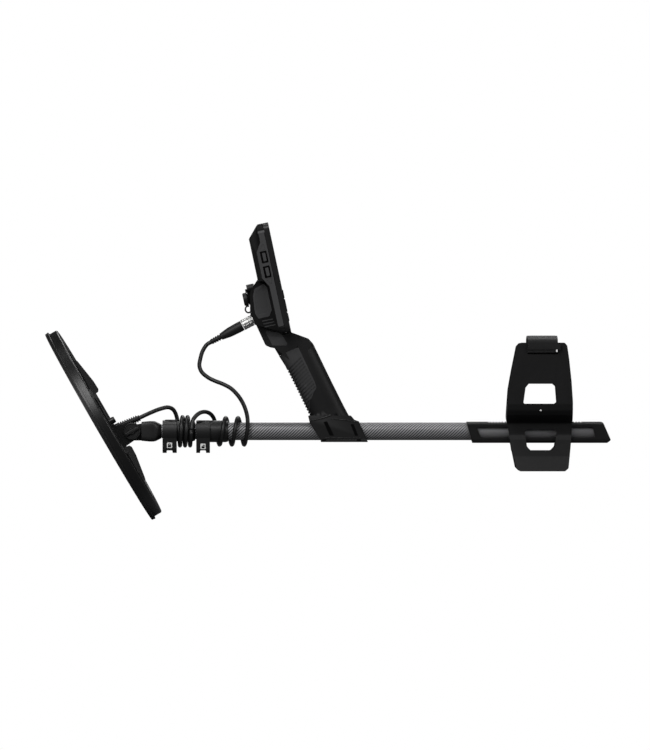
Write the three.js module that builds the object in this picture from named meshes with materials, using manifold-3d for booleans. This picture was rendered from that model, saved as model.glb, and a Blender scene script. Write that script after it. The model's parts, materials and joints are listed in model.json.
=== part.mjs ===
// A collapsible hand-held metal detector: search coil on a tilting yoke, three telescoping
// tubes with two cam locks, pistol grip, control pod, armrest with stand and strap, and the
// coil cable that is wound round the shaft. Millimetres.
//
// Everything is modelled in the shaft's own frame: X runs back along the shaft from the coil's
// tilt axis, Y across, Z up. The last lines stand the detector on the coil's rim and on the
// armrest's two feet.
import * as THREE from "three";
import { mergeVertices } from "three/addons/utils/BufferGeometryUtils.js";
import Module from "manifold-3d";

const wasm = await Module();
wasm.setup();

// ---------------------------------------------------------------- driving dimensions
const GAP = 0.3; // between pieces that only touch
const SLIDE = 0.25; // radial running clearance of the telescoping tubes
const TUBE_SIDES = 24;
const SMALL_SIDES = 16;
const DISC_SIDES = 40;

const UPPER = { r: 11.75, bore: 10.75, front: 90, rear: 620 };
const MIDDLE = { r: 10.5, bore: 9.5, front: 44, rear: 600 };
const LOWER = { r: 9.25, bore: 8, front: 39.4, rear: 575 };

const COIL_ANGLE = THREE.MathUtils.degToRad(60); // from the shaft's axis to the coil's plane
const COIL = {
  centre: -26.9, // the disc's centre, along its own plane from the tilt axis
  top: -19.2, // its upper face, below the tilt axis
  housing: 12.2, // thickness of the housing
  r: 139.7,
  ringWidth: 18.5,
  spineHalf: 23,
  spokeAt: 42,
  spokeHalf: 7,
};
const SKID = { r: 143, floor: 2, lip: 4.8, depth: 16.5 };

const GRIP_LEAN = THREE.MathUtils.degToRad(-26.1);
const GRIP_X = 272.3; // where the grip's axis meets the tube's axis
const POD_LEAN = THREE.MathUtils.degToRad(-12);
const POD_AT = [211.7, 132.2]; // the lower edge of the pod's front face, x and z
const POD = { width: 92, height: 148.6, bezel: 7, wall: 2.2 };

const THROUGH = 70; // half length of a cut that goes right through across the shaft
const CABLE_DUCT = { from: [188, 0, 118], to: [204, 0, 137], r: 6 }; // from the grip into the pod

const CABLE_R = 2.75;
const WRAP_R = 19; // middle of the cable wound on the middle tube's collar
const WRAP_UPPER_R = 17.8;

// ---------------------------------------------------------------- colours
const paint = (color, roughness, metalness = 0) =>
  new THREE.MeshStandardMaterial({ color, roughness, metalness });
const PAINT = {
  blackPlastic: paint(0x1b1b1c, 0.55),
  softBlack: paint(0x242425, 0.75),
  carbon: paint(0x3a3a3b, 0.4),
  rubber: paint(0x1f1f20, 0.85),
  steel: paint(0x9a9c9e, 0.3, 1),
  nickel: paint(0xc8c8c6, 0.25, 1),
  copper: paint(0xb06a3a, 0.4, 1),
  board: paint(0x14502c, 0.6),
  glass: paint(0x0a0d10, 0.08),
  webbing: paint(0x161617, 0.95),
  battery: paint(0x2a5a9a, 0.5),
};

// ---------------------------------------------------------------- solids
function solid(geometry) {
  const g = geometry.index ? geometry.toNonIndexed() : geometry.clone();
  for (const name of Object.keys(g.attributes)) {
    if (name !== "position") g.deleteAttribute(name);
  }
  const merged = mergeVertices(g, 1e-3);
  return new wasm.Manifold(
    new wasm.Mesh({
      numProp: 3,
      vertProperties: merged.attributes.position.array,
      triVerts: new Uint32Array(merged.index.array),
    }),
  );
}

function geometryOf(manifold) {
  const mesh = manifold.getMesh();
  return new THREE.BufferGeometry()
    .setAttribute("position", new THREE.BufferAttribute(mesh.vertProperties, 3))
    .setIndex(new THREE.BufferAttribute(mesh.triVerts, 1));
}

const join = (first, ...rest) => rest.reduce((all, s) => all.add(s), first);
const cut = (first, ...rest) => rest.reduce((all, s) => all.subtract(s), first);

function shapeOf(points) {
  return new THREE.Shape(points.map(([x, y]) => new THREE.Vector2(x, y)));
}

// An outline drawn in (x, z), standing between two values of y.
function plateY(outline, y0, y1) {
  const shape = Array.isArray(outline) ? shapeOf(outline) : outline;
  const g = new THREE.ExtrudeGeometry(shape, { depth: y1 - y0, bevelEnabled: false, curveSegments: 6 });
  g.rotateX(Math.PI / 2).translate(0, y1, 0);
  return solid(g);
}

// An outline drawn in (y, z), standing between two values of x.
function plateX(outline, x0, x1, curveSegments = 6) {
  const shape = Array.isArray(outline) ? shapeOf(outline) : outline;
  const g = new THREE.ExtrudeGeometry(shape, { depth: x1 - x0, bevelEnabled: false, curveSegments });
  const axes = new THREE.Matrix4().makeBasis(
    new THREE.Vector3(0, 1, 0),
    new THREE.Vector3(0, 0, 1),
    new THREE.Vector3(1, 0, 0),
  );
  g.applyMatrix4(axes).translate(x0, 0, 0);
  return solid(g);
}

// An outline drawn in (x, y), standing between two values of z.
function plateZ(outline, z0, z1, curveSegments = 6) {
  const shape = Array.isArray(outline) ? shapeOf(outline) : outline;
  const g = new THREE.ExtrudeGeometry(shape, { depth: z1 - z0, bevelEnabled: false, curveSegments });
  return solid(g.translate(0, 0, z0));
}

const block = (x0, x1, y0, y1, z0, z1) =>
  solid(
    new THREE.BoxGeometry(x1 - x0, y1 - y0, z1 - z0).translate((x0 + x1) / 2, (y0 + y1) / 2, (z0 + z1) / 2),
  );

// A rod or cone from one point to another.
function rod(from, to, r0, r1 = r0, sides = SMALL_SIDES) {
  const a = new THREE.Vector3(...from);
  const b = new THREE.Vector3(...to);
  const along = b.clone().sub(a);
  const g = new THREE.CylinderGeometry(r1, r0, along.length(), sides);
  const turn = new THREE.Quaternion().setFromUnitVectors(new THREE.Vector3(0, 1, 0), along.normalize());
  g.applyQuaternion(turn).translate(...a.add(b).multiplyScalar(0.5).toArray());
  return solid(g);
}

const rodX = (x0, x1, r0, r1 = r0, sides = TUBE_SIDES) => rod([x0, 0, 0], [x1, 0, 0], r0, r1, sides);
const ringX = (x0, x1, outer, bore, sides = TUBE_SIDES) =>
  cut(rodX(x0, x1, outer, outer, sides), rodX(x0 - 1, x1 + 1, bore, bore, sides));

// A closed skin over rings of points, each ring with the same number of points.
function loft(rings) {
  const n = rings[0].length;
  const points = rings.flat().flat();
  const middle = (ring) => [0, 1, 2].map((k) => ring.reduce((sum, p) => sum + p[k], 0) / n);
  points.push(...middle(rings[0]), ...middle(rings[rings.length - 1]));
  const first = rings.length * n;
  const faces = [];
  for (let i = 0; i < rings.length - 1; i++) {
    for (let j = 0; j < n; j++) {
      const a = i * n + j;
      const b = i * n + ((j + 1) % n);
      faces.push(a, b, b + n, a, b + n, a + n);
    }
  }
  for (let j = 0; j < n; j++) {
    const next = (j + 1) % n;
    const last = (rings.length - 1) * n;
    faces.push(first, next, j, first + 1, last + j, last + next);
  }
  const g = new THREE.BufferGeometry();
  g.setAttribute("position", new THREE.Float32BufferAttribute(points, 3));
  g.setIndex(faces);
  const made = solid(g);
  if (made.volume() > 0) return made;
  g.setIndex(faces.flatMap((_, k) => (k % 3 ? [] : [faces[k], faces[k + 2], faces[k + 1]])));
  return solid(g);
}

// Points round a superellipse in (a, b).
function oval(halfA, halfB, power, count, centreA = 0) {
  return Array.from({ length: count }, (_, i) => {
    const t = (2 * Math.PI * i) / count;
    const c = Math.cos(t);
    const s = Math.sin(t);
    const bend = 2 / power;
    return [
      centreA + halfA * Math.sign(c) * Math.abs(c) ** bend,
      halfB * Math.sign(s) * Math.abs(s) ** bend,
    ];
  });
}

function roundedBox(halfA, halfB, r) {
  const s = new THREE.Shape();
  s.moveTo(-halfA + r, -halfB);
  s.lineTo(halfA - r, -halfB);
  s.absarc(halfA - r, -halfB + r, r, -Math.PI / 2, 0, false);
  s.lineTo(halfA, halfB - r);
  s.absarc(halfA - r, halfB - r, r, 0, Math.PI / 2, false);
  s.lineTo(-halfA + r, halfB);
  s.absarc(-halfA + r, halfB - r, r, Math.PI / 2, Math.PI, false);
  s.lineTo(-halfA, -halfB + r);
  s.absarc(-halfA + r, -halfB + r, r, Math.PI, 1.5 * Math.PI, false);
  return s;
}

// ---------------------------------------------------------------- groups
const detector = new THREE.Group();
const coilFrame = new THREE.Group();
coilFrame.rotation.y = COIL_ANGLE;
const gripFrame = new THREE.Group();
gripFrame.position.set(GRIP_X, 0, 0);
gripFrame.rotation.y = GRIP_LEAN;
const podFrame = new THREE.Group();
podFrame.position.set(POD_AT[0], 0, POD_AT[1]);
podFrame.rotation.y = POD_LEAN;
detector.add(coilFrame, gripFrame, podFrame);

function add(group, name, material, manifold) {
  const mesh = new THREE.Mesh(geometryOf(manifold), material);
  mesh.name = name;
  group.add(mesh);
}

// A solid drawn in one group's frame, moved to the detector's frame, and the other way.
const place = (manifold, frame) => {
  frame.updateMatrix();
  return solid(geometryOf(manifold).applyMatrix4(frame.matrix));
};
const placeInto = (manifold, frame) => {
  frame.updateMatrix();
  return solid(geometryOf(manifold).applyMatrix4(frame.matrix.clone().invert()));
};

// ---------------------------------------------------------------- search coil
// The web's outline seen from above: ring, spine and four spokes, as one flat solid.
function coilWeb(z0, z1, outer, inset) {
  const inner = COIL.r - COIL.ringWidth + inset;
  const at = [COIL.centre, 0];
  const disc = (r) => rod([...at, z0], [...at, z1], r, r, DISC_SIDES);
  const ring = cut(disc(outer), rod([...at, z0 - 1], [...at, z1 + 1], inner, inner, DISC_SIDES));
  const half = COIL.spineHalf - inset;
  const reach = COIL.r - COIL.ringWidth / 2;
  const spine = block(at[0] - reach, at[0] + reach, -half, half, z0, z1);
  const spokes = [-COIL.spokeAt, COIL.spokeAt].map((s) =>
    block(at[0] + s - COIL.spokeHalf + inset, at[0] + s + COIL.spokeHalf - inset, -118, 118, z0, z1),
  );
  return join(ring, spine, ...spokes);
}

// One D-shaped winding: an arc along the ring and a straight leg past the middle.
function winding(side, z0, z1, width, r, leg) {
  const turn = Math.asin(leg / r);
  const shape = (radius, straight) => {
    const s = new THREE.Shape();
    const bend = Math.asin(straight / radius);
    s.absarc(0, 0, radius, -bend, Math.PI + bend, false);
    s.closePath();
    return s;
  };
  const outer = plateZ(shape(r + width / 2, leg + width / 2), z0, z1, 14);
  const hole = plateZ(shape(r - width / 2, leg - width / 2), z0 - 1, z1 + 1, 14);
  const made = cut(outer, hole);
  return (side > 0 ? made : made.rotate([0, 0, 180])).translate([COIL.centre, 0, 0]);
}

const WINDING = { r: 130.4, leg: 15.5, width: 8.5, z: [-30.6, -27.2, -26.6, -23.2] };

function windingChannel() {
  const low = COIL.top - COIL.housing - 1;
  const wide = WINDING.width + 1.2;
  return [1, -1].map((side) => winding(side, low, WINDING.z[3] + 0.5, wide, WINDING.r, WINDING.leg));
}

const YOKE = { r: 11.5, inner: 8.2, outer: 14, base: [-19, 13.4] };
const BOLT_R = 3.9;
const BOLT_HEAD = { r: 6, depth: 4 };
const THUMB_NUT = { r: 11.3, depth: 3.4, barReach: 10.2, barHalf: 2.6, barDepth: 6, turned: 90 };
const WASHER = { r: 8.4, inner: 6.7, outer: 7.9 };
const GLAND = { x: -25.5, r: 4.4, height: 7.5 };
const FAIRING_HALF = 14;

function yokeEar(side) {
  const low = COIL.top - 3;
  const tangent = ([x, z], sign) => Math.atan2(z, x) + sign * Math.acos(YOKE.r / Math.hypot(x, z));
  const left = [YOKE.base[0], COIL.top];
  const right = [YOKE.base[1], COIL.top];
  const s = new THREE.Shape();
  s.moveTo(left[0], low);
  s.lineTo(right[0], low);
  s.lineTo(...right);
  s.absarc(0, 0, YOKE.r, tangent(right, 1), tangent(left, -1) + 2 * Math.PI, false);
  s.lineTo(...left);
  const ys = side > 0 ? [YOKE.inner, YOKE.outer] : [-YOKE.outer, -YOKE.inner];
  return plateY(s, ...ys);
}

// The raised fairings on the spine, before and behind the yoke.
function spineFairing(sign) {
  const t = COIL.top;
  const at = (s) => COIL.centre + sign * s;
  const outline = [
    [at(40.5), t - 1],
    [at(93), t - 1],
    [at(91), t + 2.6],
    [at(57), t + 7.9],
    [at(44.5), t + 8.4],
    [at(41), t + 6.5],
  ];
  return plateY(outline, -FAIRING_HALF, FAIRING_HALF);
}

function makeCoil() {
  const bottom = COIL.top - COIL.housing;
  const hole = rod([0, -30, 0], [0, 30, 0], BOLT_R + GAP);
  const lug = block(YOKE.base[0], YOKE.base[1], -YOKE.outer, YOKE.outer, COIL.top - 2, COIL.top + 2.5);
  const housing = cut(
    join(
      coilWeb(bottom, COIL.top, COIL.r, 0),
      lug,
      cut(yokeEar(1), hole),
      cut(yokeEar(-1), hole),
      spineFairing(1),
      spineFairing(-1),
      rod([GLAND.x, 0, COIL.top - 1], [GLAND.x, 0, COIL.top + GLAND.height], GLAND.r),
    ),
    ...windingChannel(),
    placeInto(cableBoot(GAP), coilFrame),
  );
  add(coilFrame, "coil_housing", PAINT.blackPlastic, housing);
  const z = WINDING.z;
  add(
    coilFrame,
    "transmit_winding",
    PAINT.copper,
    winding(1, z[0], z[1], WINDING.width, WINDING.r, WINDING.leg),
  );
  add(
    coilFrame,
    "receive_winding",
    PAINT.copper,
    winding(-1, z[2], z[3], WINDING.width, WINDING.r, WINDING.leg),
  );

  const base = COIL.top - SKID.depth;
  const skid = cut(
    join(
      coilWeb(base, base + SKID.floor, SKID.r, 0.6),
      rod([COIL.centre, 0, base], [COIL.centre, 0, base + SKID.lip], SKID.r, SKID.r - 0.8, DISC_SIDES),
    ),
    rod([COIL.centre, 0, base + SKID.floor], [COIL.centre, 0, 0], COIL.r + GAP, COIL.r + GAP, DISC_SIDES),
    cut(
      rod([COIL.centre, 0, base - 1], [COIL.centre, 0, 0], COIL.r - 3, COIL.r - 3, DISC_SIDES),
      coilWeb(base - 1, base + SKID.floor, SKID.r, 0.6),
    ),
  );
  add(coilFrame, "skid_plate", PAINT.softBlack, skid);
}

// The tilt bolt, its thumb nut on the near side and the two friction washers.
function makeTiltBolt() {
  const inner = YOKE.outer + GAP;
  const shankEnd = -inner - THUMB_NUT.barDepth + 1;
  const bolt = join(
    rod([0, inner, 0], [0, YOKE.outer + BOLT_HEAD.depth, 0], BOLT_HEAD.r, BOLT_HEAD.r - 0.8, 6),
    rod([0, shankEnd, 0], [0, YOKE.outer + 1, 0], BOLT_R),
  );
  add(coilFrame, "tilt_bolt", PAINT.softBlack, bolt);
  const face = -inner;
  const { r, depth, barReach, barHalf, barDepth, turned } = THUMB_NUT;
  const bar = block(-barReach, barReach, face - barDepth, face - depth + 0.4, -barHalf, barHalf);
  const nut = cut(
    join(rod([0, face - depth, 0], [0, face, 0], r - 0.7, r, 28), bar.rotate([0, turned, 0])),
    rod([0, shankEnd - 0.4, 0], [0, face + 1, 0], BOLT_R + GAP),
  );
  add(coilFrame, "tilt_thumb_nut", PAINT.softBlack, nut);
  [-1, 1].forEach((side, i) => {
    const washer = cut(
      rod([0, side * WASHER.inner, 0], [0, side * WASHER.outer, 0], WASHER.r),
      rod([0, side * (WASHER.inner - 1), 0], [0, side * (WASHER.outer + 1), 0], BOLT_R + GAP),
    );
    add(coilFrame, `friction_washer_${i + 1}`, PAINT.rubber, washer);
  });
}

// ---------------------------------------------------------------- lower tube and its end fitting
function makeLowerShaft() {
  const sides = 20;
  const station = (x, halfY, halfZ, power) => oval(halfY, halfZ, power, sides).map(([y, z]) => [x, y, z]);
  const body = loft([
    station(12.7, 12.3, 12.6, 5),
    station(24, 12.8, 13.7, 5),
    station(29, 12.4, 13.6, 4),
    station(34, 11, 12, 3),
    station(39.1, LOWER.r, LOWER.r, 2),
  ]);
  // The tongue between the yoke's ears is cut away above the tilt axis, where the cable boot swings.
  const swing = { r: 7.8, from: THREE.MathUtils.degToRad(102), to: THREE.MathUtils.degToRad(200) };
  const tongue = new THREE.Shape();
  tongue.moveTo(16, -12.2);
  tongue.lineTo(16, 11.2);
  tongue.absarc(0, 0, swing.r, swing.from, swing.to, false);
  tongue.absarc(0, 0, 12.2, 1.35 * Math.PI, 1.5 * Math.PI, false);
  const channel = plateY(
    [
      [12, 10.3],
      [17.5, 11.5],
      [26, 12.2],
      [26, 20],
      [12, 20],
    ],
    -5.6,
    5.6,
  );
  const fitting = cut(
    join(cut(body, channel), plateY(tongue, -6.4, 6.4), rodX(38, 58, LOWER.bore - 0.2)),
    rod([0, -20, 0], [0, 20, 0], BOLT_R + GAP),
  );
  add(detector, "yoke_fitting", PAINT.softBlack, fitting);
  add(detector, "lower_tube", PAINT.carbon, ringX(LOWER.front, LOWER.rear, LOWER.r, LOWER.bore));
  add(detector, "lower_tube_bush", PAINT.rubber, endBush(LOWER.rear, LOWER, MIDDLE));
}

// A sleeve in a tube's rear end whose flange runs in the next tube out.
function endBush(x, tube, next) {
  const spigot = rodX(x - 9, x + 1, tube.bore - 0.2);
  const flange = rodX(x + GAP, x + 6, next.bore - 0.2);
  return cut(join(spigot, flange), rodX(x - 20, x + 20, tube.bore - 2.5));
}

// ---------------------------------------------------------------- cam locks
const LOCK_LOWER = {
  x: 40.6,
  wide: 19,
  sleeveEnd: 84,
  sleeveR: 13.3,
  top: 15.6,
  outer: MIDDLE,
  inner: LOWER,
};
const LOCK_UPPER = {
  x: 85.4,
  wide: 18.3,
  sleeveEnd: 128,
  sleeveR: 14.5,
  top: 14.7,
  outer: UPPER,
  inner: MIDDLE,
};
const LEVER = { inner: 15.4, outer: 18.2, ear: 6.9, knuckle: 3.6, knuckleHalf: 4 };
const PIN = { y: -7, z: -21.8, r: 1.5 };
const pinRod = (x0, x1, r) => rod([x0, PIN.y, PIN.z], [x1, PIN.y, PIN.z], r);
const COLLAR_R = 14.8;

function lockCollar(lock) {
  const { x, wide, sleeveEnd, sleeveR, top, outer, inner } = lock;
  const end = x + wide;
  const mid = x + wide / 2;
  const half = LEVER.knuckleHalf - GAP;
  const cap = [
    [x, top - 5],
    [x + 3, top],
    [end, top],
    [end, 2],
    [x, 2],
  ];
  const knuckle = join(
    block(mid - half, mid + half, -10, -3.4, PIN.z, -8),
    pinRod(mid - half, mid + half, LEVER.knuckle),
  );
  return cut(
    join(
      rodX(x, end, COLLAR_R),
      rodX(end - 1, sleeveEnd, sleeveR, sleeveR),
      plateY(cap, -9.5, 9.5),
      knuckle,
    ),
    rodX(outer.front - GAP, sleeveEnd + 1, outer.r + SLIDE),
    rodX(x - 1, sleeveEnd, inner.r + SLIDE),
    block(x - 1, end + 6, 1, 3, -20, -5),
    pinRod(x, end, PIN.r + GAP),
  );
}

// The lever hugs the near side of the collar and turns on a pin under it.
function lockLever(lock) {
  const { x, wide } = lock;
  const end = x + wide;
  const mid = x + wide / 2;
  const up = Math.PI - Math.asin(10.4 / LEVER.outer);
  const down = Math.PI + Math.asin(13.5 / LEVER.outer);
  const wrap = new THREE.Shape();
  wrap.absarc(0, 0, LEVER.outer, up, down, false);
  wrap.absarc(0, 0, LEVER.inner, down, up, true);
  const ear = (x0, x1) =>
    join(
      pinRod(x0, x1, LEVER.ear),
      plateX(
        [
          [-13.9, PIN.z],
          [PIN.y + 2, PIN.z],
          [PIN.y + 2, -15.8],
          [-9.2, -12.6],
          [-12.5, -9.4],
          [-15.8, -9],
        ],
        x0,
        x1,
      ),
    );
  const slot = block(mid - LEVER.knuckleHalf, mid + LEVER.knuckleHalf, -30, 5, -40, -7.6);
  return cut(
    join(
      plateX(wrap, x + 0.1, end - 0.1),
      ear(x + 0.1, mid - LEVER.knuckleHalf),
      ear(mid + LEVER.knuckleHalf, end - 0.1),
    ),
    slot,
    rod([x - 1, 0, 0], [end + 1, 0, 0], LEVER.inner, LEVER.inner, 24),
    pinRod(x - 1, end + 1, PIN.r + 0.1),
  );
}

function makeLock(name, lock) {
  const mid = lock.x + lock.wide / 2;
  const reach = LEVER.knuckleHalf + 4;
  add(detector, `${name}_lock_collar`, PAINT.blackPlastic, lockCollar(lock));
  add(detector, `${name}_lock_lever`, PAINT.softBlack, lockLever(lock));
  add(detector, `${name}_lock_pin`, PAINT.steel, pinRod(mid - reach, mid + reach, PIN.r - 0.15));
}

function makeMiddleShaft() {
  add(detector, "middle_tube", PAINT.carbon, ringX(MIDDLE.front, MIDDLE.rear, MIDDLE.r, MIDDLE.bore));
  add(detector, "middle_tube_bush", PAINT.rubber, endBush(MIDDLE.rear, MIDDLE, UPPER));
  makeLock("lower", LOCK_LOWER);
}

function makeUpperShaft() {
  add(detector, "upper_tube", PAINT.carbon, ringX(UPPER.front, UPPER.rear, UPPER.r, UPPER.bore));
  makeLock("upper", LOCK_UPPER);
}

// ---------------------------------------------------------------- grip
// Half depth and half width of the grip along its axis, from the clamp to the pod.
const GRIP_STATIONS = [
  { z: 10, depth: 26.5, width: 16.5, at: 1.5 },
  { z: 22, depth: 24.5, width: 16.2, at: 0.5 },
  { z: 34, depth: 23, width: 16.2, at: 0 },
  { z: 108, depth: 23, width: 16.2, at: 0 },
  { z: 126, depth: 24, width: 16, at: -1 },
  { z: 150, depth: 24, width: 16, at: -3 },
];

const GRIP_WALL = 2.6;
const cableDuct = () => rod(CABLE_DUCT.from, CABLE_DUCT.to, CABLE_DUCT.r);

function gripLoft(shrink) {
  return loft(
    GRIP_STATIONS.map(({ z, depth, width, at }) =>
      oval(depth - shrink, width - shrink, 3, 16, at).map(([x, y]) => [x, y, z]),
    ),
  );
}

function makeHandle() {
  const half = 17;
  const clampOutline = [
    [250.5, -11],
    [312.4, -11],
    [301.8, 13.2],
    [296, 15.2],
    [291, 21],
    [234, 21],
    [236.4, 11.2],
  ];
  // The neck under the pod, in the detector's frame, before and above the grip.
  const neckTop = [
    [165.6, 140.1],
    [194.6, 132.9],
    [195.6, 128.6],
    [211.2, 130.9],
    [234.6, 123.3],
  ];
  const neckOutline = [
    [196, 100],
    [191.8, 108.2],
    [184.5, 111.6],
    [177.2, 116.4],
    ...neckTop,
    [239, 118.6],
    [228, 96],
  ];
  const above = plateY(
    [[120, 140.1], ...neckTop, [245, 112], [330, 112], [330, 260], [120, 260]],
    -THROUGH,
    THROUGH,
  );
  const bore = rodX(150, 400, UPPER.r + SLIDE);
  const outer = cut(
    join(
      plateY(clampOutline, -half, half),
      place(gripLoft(0), gripFrame),
      plateY(neckOutline, -15.5, 15.5),
    ),
    above,
  );
  const inside = cut(
    place(gripLoft(GRIP_WALL), gripFrame),
    block(150, 400, -40, 40, -60, 18),
    plateY(
      [
        [120, 136],
        [165.6, 136],
        [191.8, 129.6],
        [194, 125],
        [211.2, 127.3],
        [231, 120.5],
        [240, 108],
        [330, 108],
        [330, 260],
        [120, 260],
      ],
      -THROUGH,
      THROUGH,
    ),
  );
  const rubber = gripRubber(GAP);
  const whole = cut(outer, inside, cableDuct(), bore, rubber, ...clampScrewHoles(2.05));
  const side = (y0, y1) => block(100, 400, y0, y1, -60, 260);
  add(detector, "handle_left_half", PAINT.blackPlastic, cut(whole, side(-0.15, 60)));
  add(detector, "handle_right_half", PAINT.blackPlastic, cut(whole, side(-60, 0.15)));
  add(detector, "rubber_grip", PAINT.rubber, gripRubber(0));
  const cap = cut(
    plateY(
      [
        [251.2, -14.2],
        [313.8, -14.2],
        [312.4, -11.3],
        [250.6, -11.3],
      ],
      -half,
      half,
    ),
    bore,
    ...clampScrewHoles(1.9),
    ...clampScrewWells(),
  );
  add(detector, "clamp_cap", PAINT.softBlack, cap);
  clampScrews().forEach((screw, i) => add(detector, `clamp_screw_${i + 1}`, PAINT.steel, screw));
}

// The overmoulded rubber on the front of the grip: a skin 2 mm deep.
function gripRubber(grow) {
  const skin = cut(gripLoft(-0.2 - grow), gripLoft(1.8 + grow));
  const front = plateY(
    [
      [-60, 40 - grow],
      [-24, 40 - grow],
      [-4 + grow, 66],
      [-4 + grow, 124 + grow],
      [-60, 124 + grow],
    ],
    -30,
    30,
  );
  return place(skin.intersect(front), gripFrame);
}

// The clamp screws, with heads sunk in the cap.
const SCREW = { r: 1.6, headR: 2.4, seat: -12.2, head: -14, end: -3 };
const SCREW_AT = [
  [282, -13.9],
  [282, 13.9],
];
const clampScrewHoles = (r) => SCREW_AT.map(([x, y]) => rod([x, y, -16], [x, y, SCREW.end + 0.5], r, r, 12));
const clampScrewWells = () =>
  SCREW_AT.map(([x, y]) => rod([x, y, -16], [x, y, SCREW.seat + 0.1], SCREW.headR + 0.3, SCREW.headR + 0.3, 12));
const clampScrews = () =>
  SCREW_AT.map(([x, y]) =>
    join(
      rod([x, y, SCREW.head], [x, y, SCREW.seat], SCREW.headR - 0.3, SCREW.headR, 12),
      rod([x, y, SCREW.seat - 0.5], [x, y, SCREW.end], SCREW.r, SCREW.r, 12),
    ),
  );

// ---------------------------------------------------------------- control pod
// In the pod's frame x points out of the display towards the user and z runs up the face.
const SCREEN = { y: 38, low: 79, high: 139 };
const KEYS = [
  { name: "select", y: 0, z: 36, r: 6.2 },
  { name: "up", y: 0, z: 51, w: 8.5, h: 5 },
  { name: "down", y: 0, z: 21, w: 8.5, h: 5 },
  { name: "left", y: 15.5, z: 36, w: 5, h: 8.5 },
  { name: "right", y: -15.5, z: 36, w: 5, h: 8.5 },
  { name: "mode", y: 30, z: 52, w: 7.5, h: 5 },
  { name: "pinpoint", y: -30, z: 52, w: 7.5, h: 5 },
  { name: "metal", y: 30, z: 20, w: 7.5, h: 5 },
  { name: "menu", y: -30, z: 20, w: 7.5, h: 5 },
];

const keySolid = (key, grow, x0, x1) =>
  key.r
    ? rod([x0, key.y, key.z], [x1, key.y, key.z], key.r + grow, key.r + grow, 20)
    : plateX(roundedBox(key.w + grow, key.h + grow, 2.4), x0, x1, 2).translate([0, key.y, key.z]);

const podOutline = (inset, r) => roundedBox(POD.width / 2 - inset, POD.height / 2 - inset, r - inset);
const podSlab = (inset, x0, x1) => plateX(podOutline(inset, 9), x0, x1, 4).translate([0, 0, POD.height / 2]);

function makePodFront() {
  const wall = POD.wall;
  const window = block(-30, 5, -SCREEN.y, SCREEN.y, SCREEN.low, SCREEN.high);
  const bezel = cut(
    podSlab(0, -POD.bezel, 0),
    podSlab(wall, -POD.bezel - 1, -2.4),
    window,
    ...KEYS.map((key) => keySolid(key, 0.4, -10, 5)),
  );
  add(podFrame, "pod_bezel", PAINT.blackPlastic, bezel);
  const ledge = 0.3;
  add(
    podFrame,
    "screen_lens",
    PAINT.glass,
    block(-1.9, -0.4, -SCREEN.y + ledge, SCREEN.y - ledge, SCREEN.low + ledge, SCREEN.high - ledge),
  );
  add(podFrame, "display_module", PAINT.steel, block(-6.6, -2.7, -40, 40, 76, 142));
  KEYS.forEach((key) =>
    add(podFrame, `key_${key.name}`, PAINT.rubber, keySolid(key, 0, -3.6, 0.9)),
  );
}

const REAR = { face: -29.3, bulge: 26, hump: 38 };
const SIDE_BUTTONS = [POD.height - 64.4, POD.height - 44.4];

// The rear housing's outside, in layers that get narrower towards its back.
function podRearOutside(inset) {
  const x0 = -POD.bezel - GAP;
  const halfWidth = POD.width / 2 - inset;
  const side = plateY(
    [
      [x0, inset],
      [x0, POD.height - inset],
      [-16 + inset, POD.height - inset],
      [-16 + inset, 124],
      [-23.5 + inset, 111.6],
      [-23.5 + inset, 78],
      [-16 + inset, 64],
      [-16 + inset, inset],
    ],
    -halfWidth,
    halfWidth,
  );
  const hump = plateY(
    [
      [x0, 60],
      [x0, POD.height - 1.4 - inset],
      [-15.8 + inset, POD.height - 1.4 - inset],
      [REAR.face + inset, 132 - inset / 2],
      [REAR.face + inset, 60],
    ],
    -REAR.hump + inset,
    REAR.hump - inset,
  );
  const bulge = plateY(
    [
      [x0, 5.5 + inset],
      [x0, 84],
      [REAR.face + inset, 77],
      [-34.2 + inset, 72.3 - inset],
      [-42 + inset, 64 - inset],
      [-47.4 + inset, 39.9],
      [-47.8 + inset, 32.2],
      [-42.6 + inset, 17.6 + inset],
      [-14.5, 3.8 + inset],
    ],
    -REAR.bulge + inset,
    REAR.bulge - inset,
  );
  return join(side.intersect(podSlab(inset, -60, 0)), hump, bulge);
}

// The coil socket stands on the slanted back of the housing, the phone socket on the flat one.
const SOCKET = { at: [159.5, 0, 147.5], direction: [-0.884, 0, -0.466] };
const along = (distance) => SOCKET.at.map((v, k) => v + SOCKET.direction[k] * distance);
const PHONE = { z: 55, face: -43.4, r: 5, cap: 8.7 };
const TORCH = { z: 68.4, r: 3.9 };

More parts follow.
